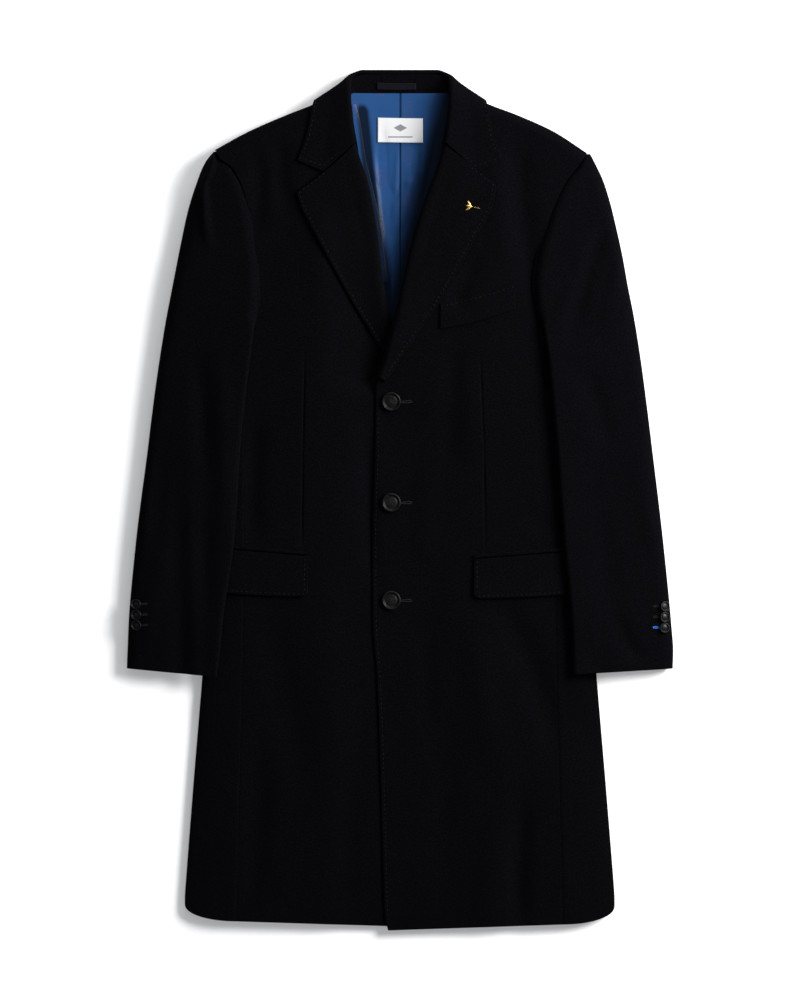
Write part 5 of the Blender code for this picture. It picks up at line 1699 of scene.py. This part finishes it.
class StitchesOperator(bpy.types.Operator):
    """Pick stitching along the lapels, collar, front edge, welt and flaps"""

    bl_idname = "overcoat.stitches"
    bl_label = "Pick stitches"

    def execute(self, context):
        inset = sizes().stitch_inset / MM
        many = np.linspace(0, 1, 60)
        lines = []
        for name, side in SIDES.items():
            lapel = lapel_face(side)[0]
            lines.append(inset_line(lapel, inset, 0.0, 0.02 + 0.96 * many))
            lines.append(on_surface(lapel, 0.03 + 0.26 * many, np.full_like(many, 0.014)))
        front = creased(front_face(LEFT)[0], DARTS[LEFT])
        lines.append(inset_line(front, inset, 0.0, 0.622 + 0.37 * np.linspace(0, 1, 160)))
        collar = leaf_face()
        for start in (0.03, 0.72):
            lines.append(inset_line(collar, inset, 0.0, start + 0.25 * many))
        for end in (0.009, 0.991):
            lines.append(on_surface(collar, 0.03 + 0.4 * many, np.full_like(many, end)))
        for name in SIDES:
            flap = patch_face(f"flap_{name}", on_body, PATCH_CLOTH["flap"])
            lines.append(on_surface(flap, 0.05 + 0.93 * many, np.full_like(many, 0.93)))
            lines.append(on_surface(flap, np.full_like(many, 0.032), 0.08 + 0.76 * many))
        welt = patch_face("chest_welt", on_body, PATCH_CLOTH["welt"])
        lines.append(on_surface(welt, 0.03 + 0.94 * many, np.full_like(many, 0.12)))
        thread = sewing_thread("pick_thread", colours().thread[:])
        stitched("pick_stitches", stitch_tree("Pick stitches"), lines, sizes().stitch_pitch,
                 sizes().stitch_length, sizes().thread, 0.0, thread)
        return {"FINISHED"}


def keyhole(start, end, width, eye):
    """A buttonhole's outline in x and y, laid on a surface: two lips and a round eye at its end."""
    start, end = np.array(start), np.array(end)
    way = (end - start) / np.linalg.norm(end - start)
    aside = np.array([-way[1], way[0]])
    turn = np.linspace(math.radians(-140), math.radians(140), 15)[:, None]
    centre = end - way * eye
    ring = centre + eye * (np.cos(turn) * way + np.sin(turn) * aside)
    low = start + (ring[0] - start) * np.linspace(0, 0.96, 14)[:, None] - aside * width / 2
    low[-1] = ring[0] + (low[-1] - ring[0]) * 0.3
    high = (start + (ring[-1] - start) * np.linspace(0.96, 0, 14)[:, None]) + aside * width / 2
    return np.concatenate([low, ring, high])


def ground_line(flat, height, lift):
    """Points and normals of a line in x and y on a height field."""
    step = 0.5
    x, y = flat[:, 0], flat[:, 1]
    slope_x = (height(x + step, y) - height(x - step, y)) / (2 * step)
    slope_y = (height(x, y + step) - height(x, y - step)) / (2 * step)
    normal = np.stack([-slope_x, -slope_y, np.ones_like(x)], axis=-1)
    normal /= np.linalg.norm(normal, axis=-1, keepdims=True)
    return np.column_stack([x, y, height(x, y)]) + normal * lift, normal


def cuff_height(side):
    """Height of the top sleeve near its cuff, at x and y."""
    us, vs = np.meshgrid(np.linspace(0.01, 0.5, 120), np.linspace(0.7, 1, 160))
    points = sleeve_face(side, True)[0](us, vs).reshape(-1, 3)

    def height(x, y):
        gap = np.hypot(points[:, 0] - np.reshape(x, (-1, 1)), points[:, 1] - np.reshape(y, (-1, 1)))
        near = np.argsort(gap, axis=1)[:, :6]
        weight = 1 / (np.take_along_axis(gap, near, 1) + 0.05)
        return (points[near, 2] * weight).sum(axis=1) / weight.sum(axis=1)

    return height


class ButtonholesOperator(bpy.types.Operator):
    """Worked keyhole buttonholes beside the front buttons and the cuff buttons"""

    bl_idname = "overcoat.buttonholes"
    bl_label = "Buttonholes"

    def execute(self, context):
        tree = stitch_tree("Buttonhole stitches")
        lines = []
        for number in (1, 2, 3):
            low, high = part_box(f"front_button_{number}")
            y = (low.y + high.y) / 2 / MM - anchor()[1] / MM - 0.8
            start, end = high.x / MM - 3, high.x / MM + 13.5
            outline = keyhole((start, y), (end, y + 0.6), 1.1, 1.3)
            lines.append(ground_line(outline, lambda x, y: front_height(LEFT, x, y), 0.1))
        thread = sewing_thread("buttonhole_thread", colours().thread[:])
        stitched("front_buttonholes", tree, lines, 0.0006, 0.0017, 0.00048, math.radians(90), thread)
        cuffs, bright = [], []
        for name, side in SIDES.items():
            height = cuff_height(side)
            for number in (1, 2, 3):
                low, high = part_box(f"cuff_button_{name}_{number}")
                y = (low.y + high.y) / 2 / MM
                inner = min(abs(low.x), abs(high.x)) / MM
                flat = keyhole((side * (inner + 1), y), (side * (inner - 8.0), y + 0.4), 0.9, 0.9)
                last = name == "left" and number == 3
                (bright if last else cuffs).append(ground_line(flat, height, 0.1))
        stitched("cuff_buttonholes", tree, cuffs, 0.0006, 0.0014, 0.00042, math.radians(90), thread)
        stitched("bright_buttonhole", tree, bright, 0.0006, 0.0016, 0.0005, math.radians(90),
                 sewing_thread("bright_thread", colours().bright_thread[:]))
        return {"FINISHED"}


class StageOperator(bpy.types.Operator):
    """Pale floor, soft studio light and the camera overhead"""

    bl_idname = "overcoat.stage"
    bl_label = "Stage"

    def execute(self, context):
        scene = context.scene
        bpy.ops.mesh.primitive_plane_add(size=14, location=(0, 0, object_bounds()[0].z - 0.0005))
        floor = context.object
        floor.name = "floor"
        floor.data.materials.append(studio_floor())
        floor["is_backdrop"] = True
        camera = bpy.data.objects.new("overhead", bpy.data.cameras.new("overhead"))
        camera.location = (0, 0, sizes().camera_height)
        camera.data.sensor_fit = "VERTICAL"
        camera.data.sensor_height = 36
        camera.data.lens = 36 * (sizes().camera_height - 0.02) / VIEW_HEIGHT
        camera.data.dof.use_dof = False
        scene.collection.objects.link(camera)
        scene.camera = camera
        for name, place, aim, size, power in LIGHTS:
            light = bpy.data.lights.new(name, "AREA")
            light.shape = "RECTANGLE"
            light.size, light.size_y = size
            light.energy = power
            lamp = bpy.data.objects.new(name, light)
            lamp.location = place
            lamp.rotation_euler = (Vector(aim) - Vector(place)).to_track_quat("-Z", "Y").to_euler()
            scene.collection.objects.link(lamp)
        world = bpy.data.worlds.new("studio")
        world.use_nodes = True
        sky = world.node_tree.nodes["Background"]
        sky.inputs["Color"].default_value = (0.93, 0.95, 1.0, 1)
        sky.inputs["Strength"].default_value = WORLD_STRENGTH
        scene.world = world
        scene.view_settings.view_transform = "Standard"
        return {"FINISHED"}


Lamp = namedtuple("Lamp", "name place aim size power")
LIGHTS = (
    Lamp("key", (2.0, 0.85, 1.5), (0, 0, 0), (1.3, 1.1), 205),
    Lamp("rim", (0.6, 3.0, 1.3), (0, 0.1, 0), (2.4, 0.8), 60),
)
WORLD_STRENGTH = 0.4
VIEW_HEIGHT = 1.262


class OvercoatPanel(bpy.types.Panel):
    """Lists the coat's pieces in the sidebar"""

    bl_idname = "VIEW3D_PT_overcoat"
    bl_label = "Overcoat"
    bl_space_type = "VIEW_3D"
    bl_region_type = "UI"
    bl_category = "Overcoat"

    def draw(self, context):
        for group in (context.scene.overcoat_sizes, context.scene.overcoat_colours):
            box = self.layout.box()
            for name in group.bl_rna.properties.keys():
                if name not in ("rna_type", "name"):
                    box.prop(group, name)
        for piece in PIECES:
            self.layout.operator(piece.bl_idname)


PIECES = (BodyOperator, SleevesOperator, LapelsOperator, CollarOperator, LiningsOperator, PocketsOperator,
          PinOperator, ButtonsOperator, StitchesOperator, ButtonholesOperator, StageOperator)
CLASSES = (OvercoatSizes, OvercoatColours, *PIECES, OvercoatPanel)


def register():
    for each in CLASSES:
        bpy.utils.register_class(each)
    bpy.types.Scene.overcoat_sizes = PointerProperty(type=OvercoatSizes)
    bpy.types.Scene.overcoat_colours = PointerProperty(type=OvercoatColours)


def unregister():
    del bpy.types.Scene.overcoat_colours
    del bpy.types.Scene.overcoat_sizes
    for each in reversed(CLASSES):
        bpy.utils.unregister_class(each)


def main():
    register()
    for piece in PIECES:
        group, name = piece.bl_idname.split(".")
        getattr(getattr(bpy.ops, group), name)()


if __name__ == "__main__":
    main()
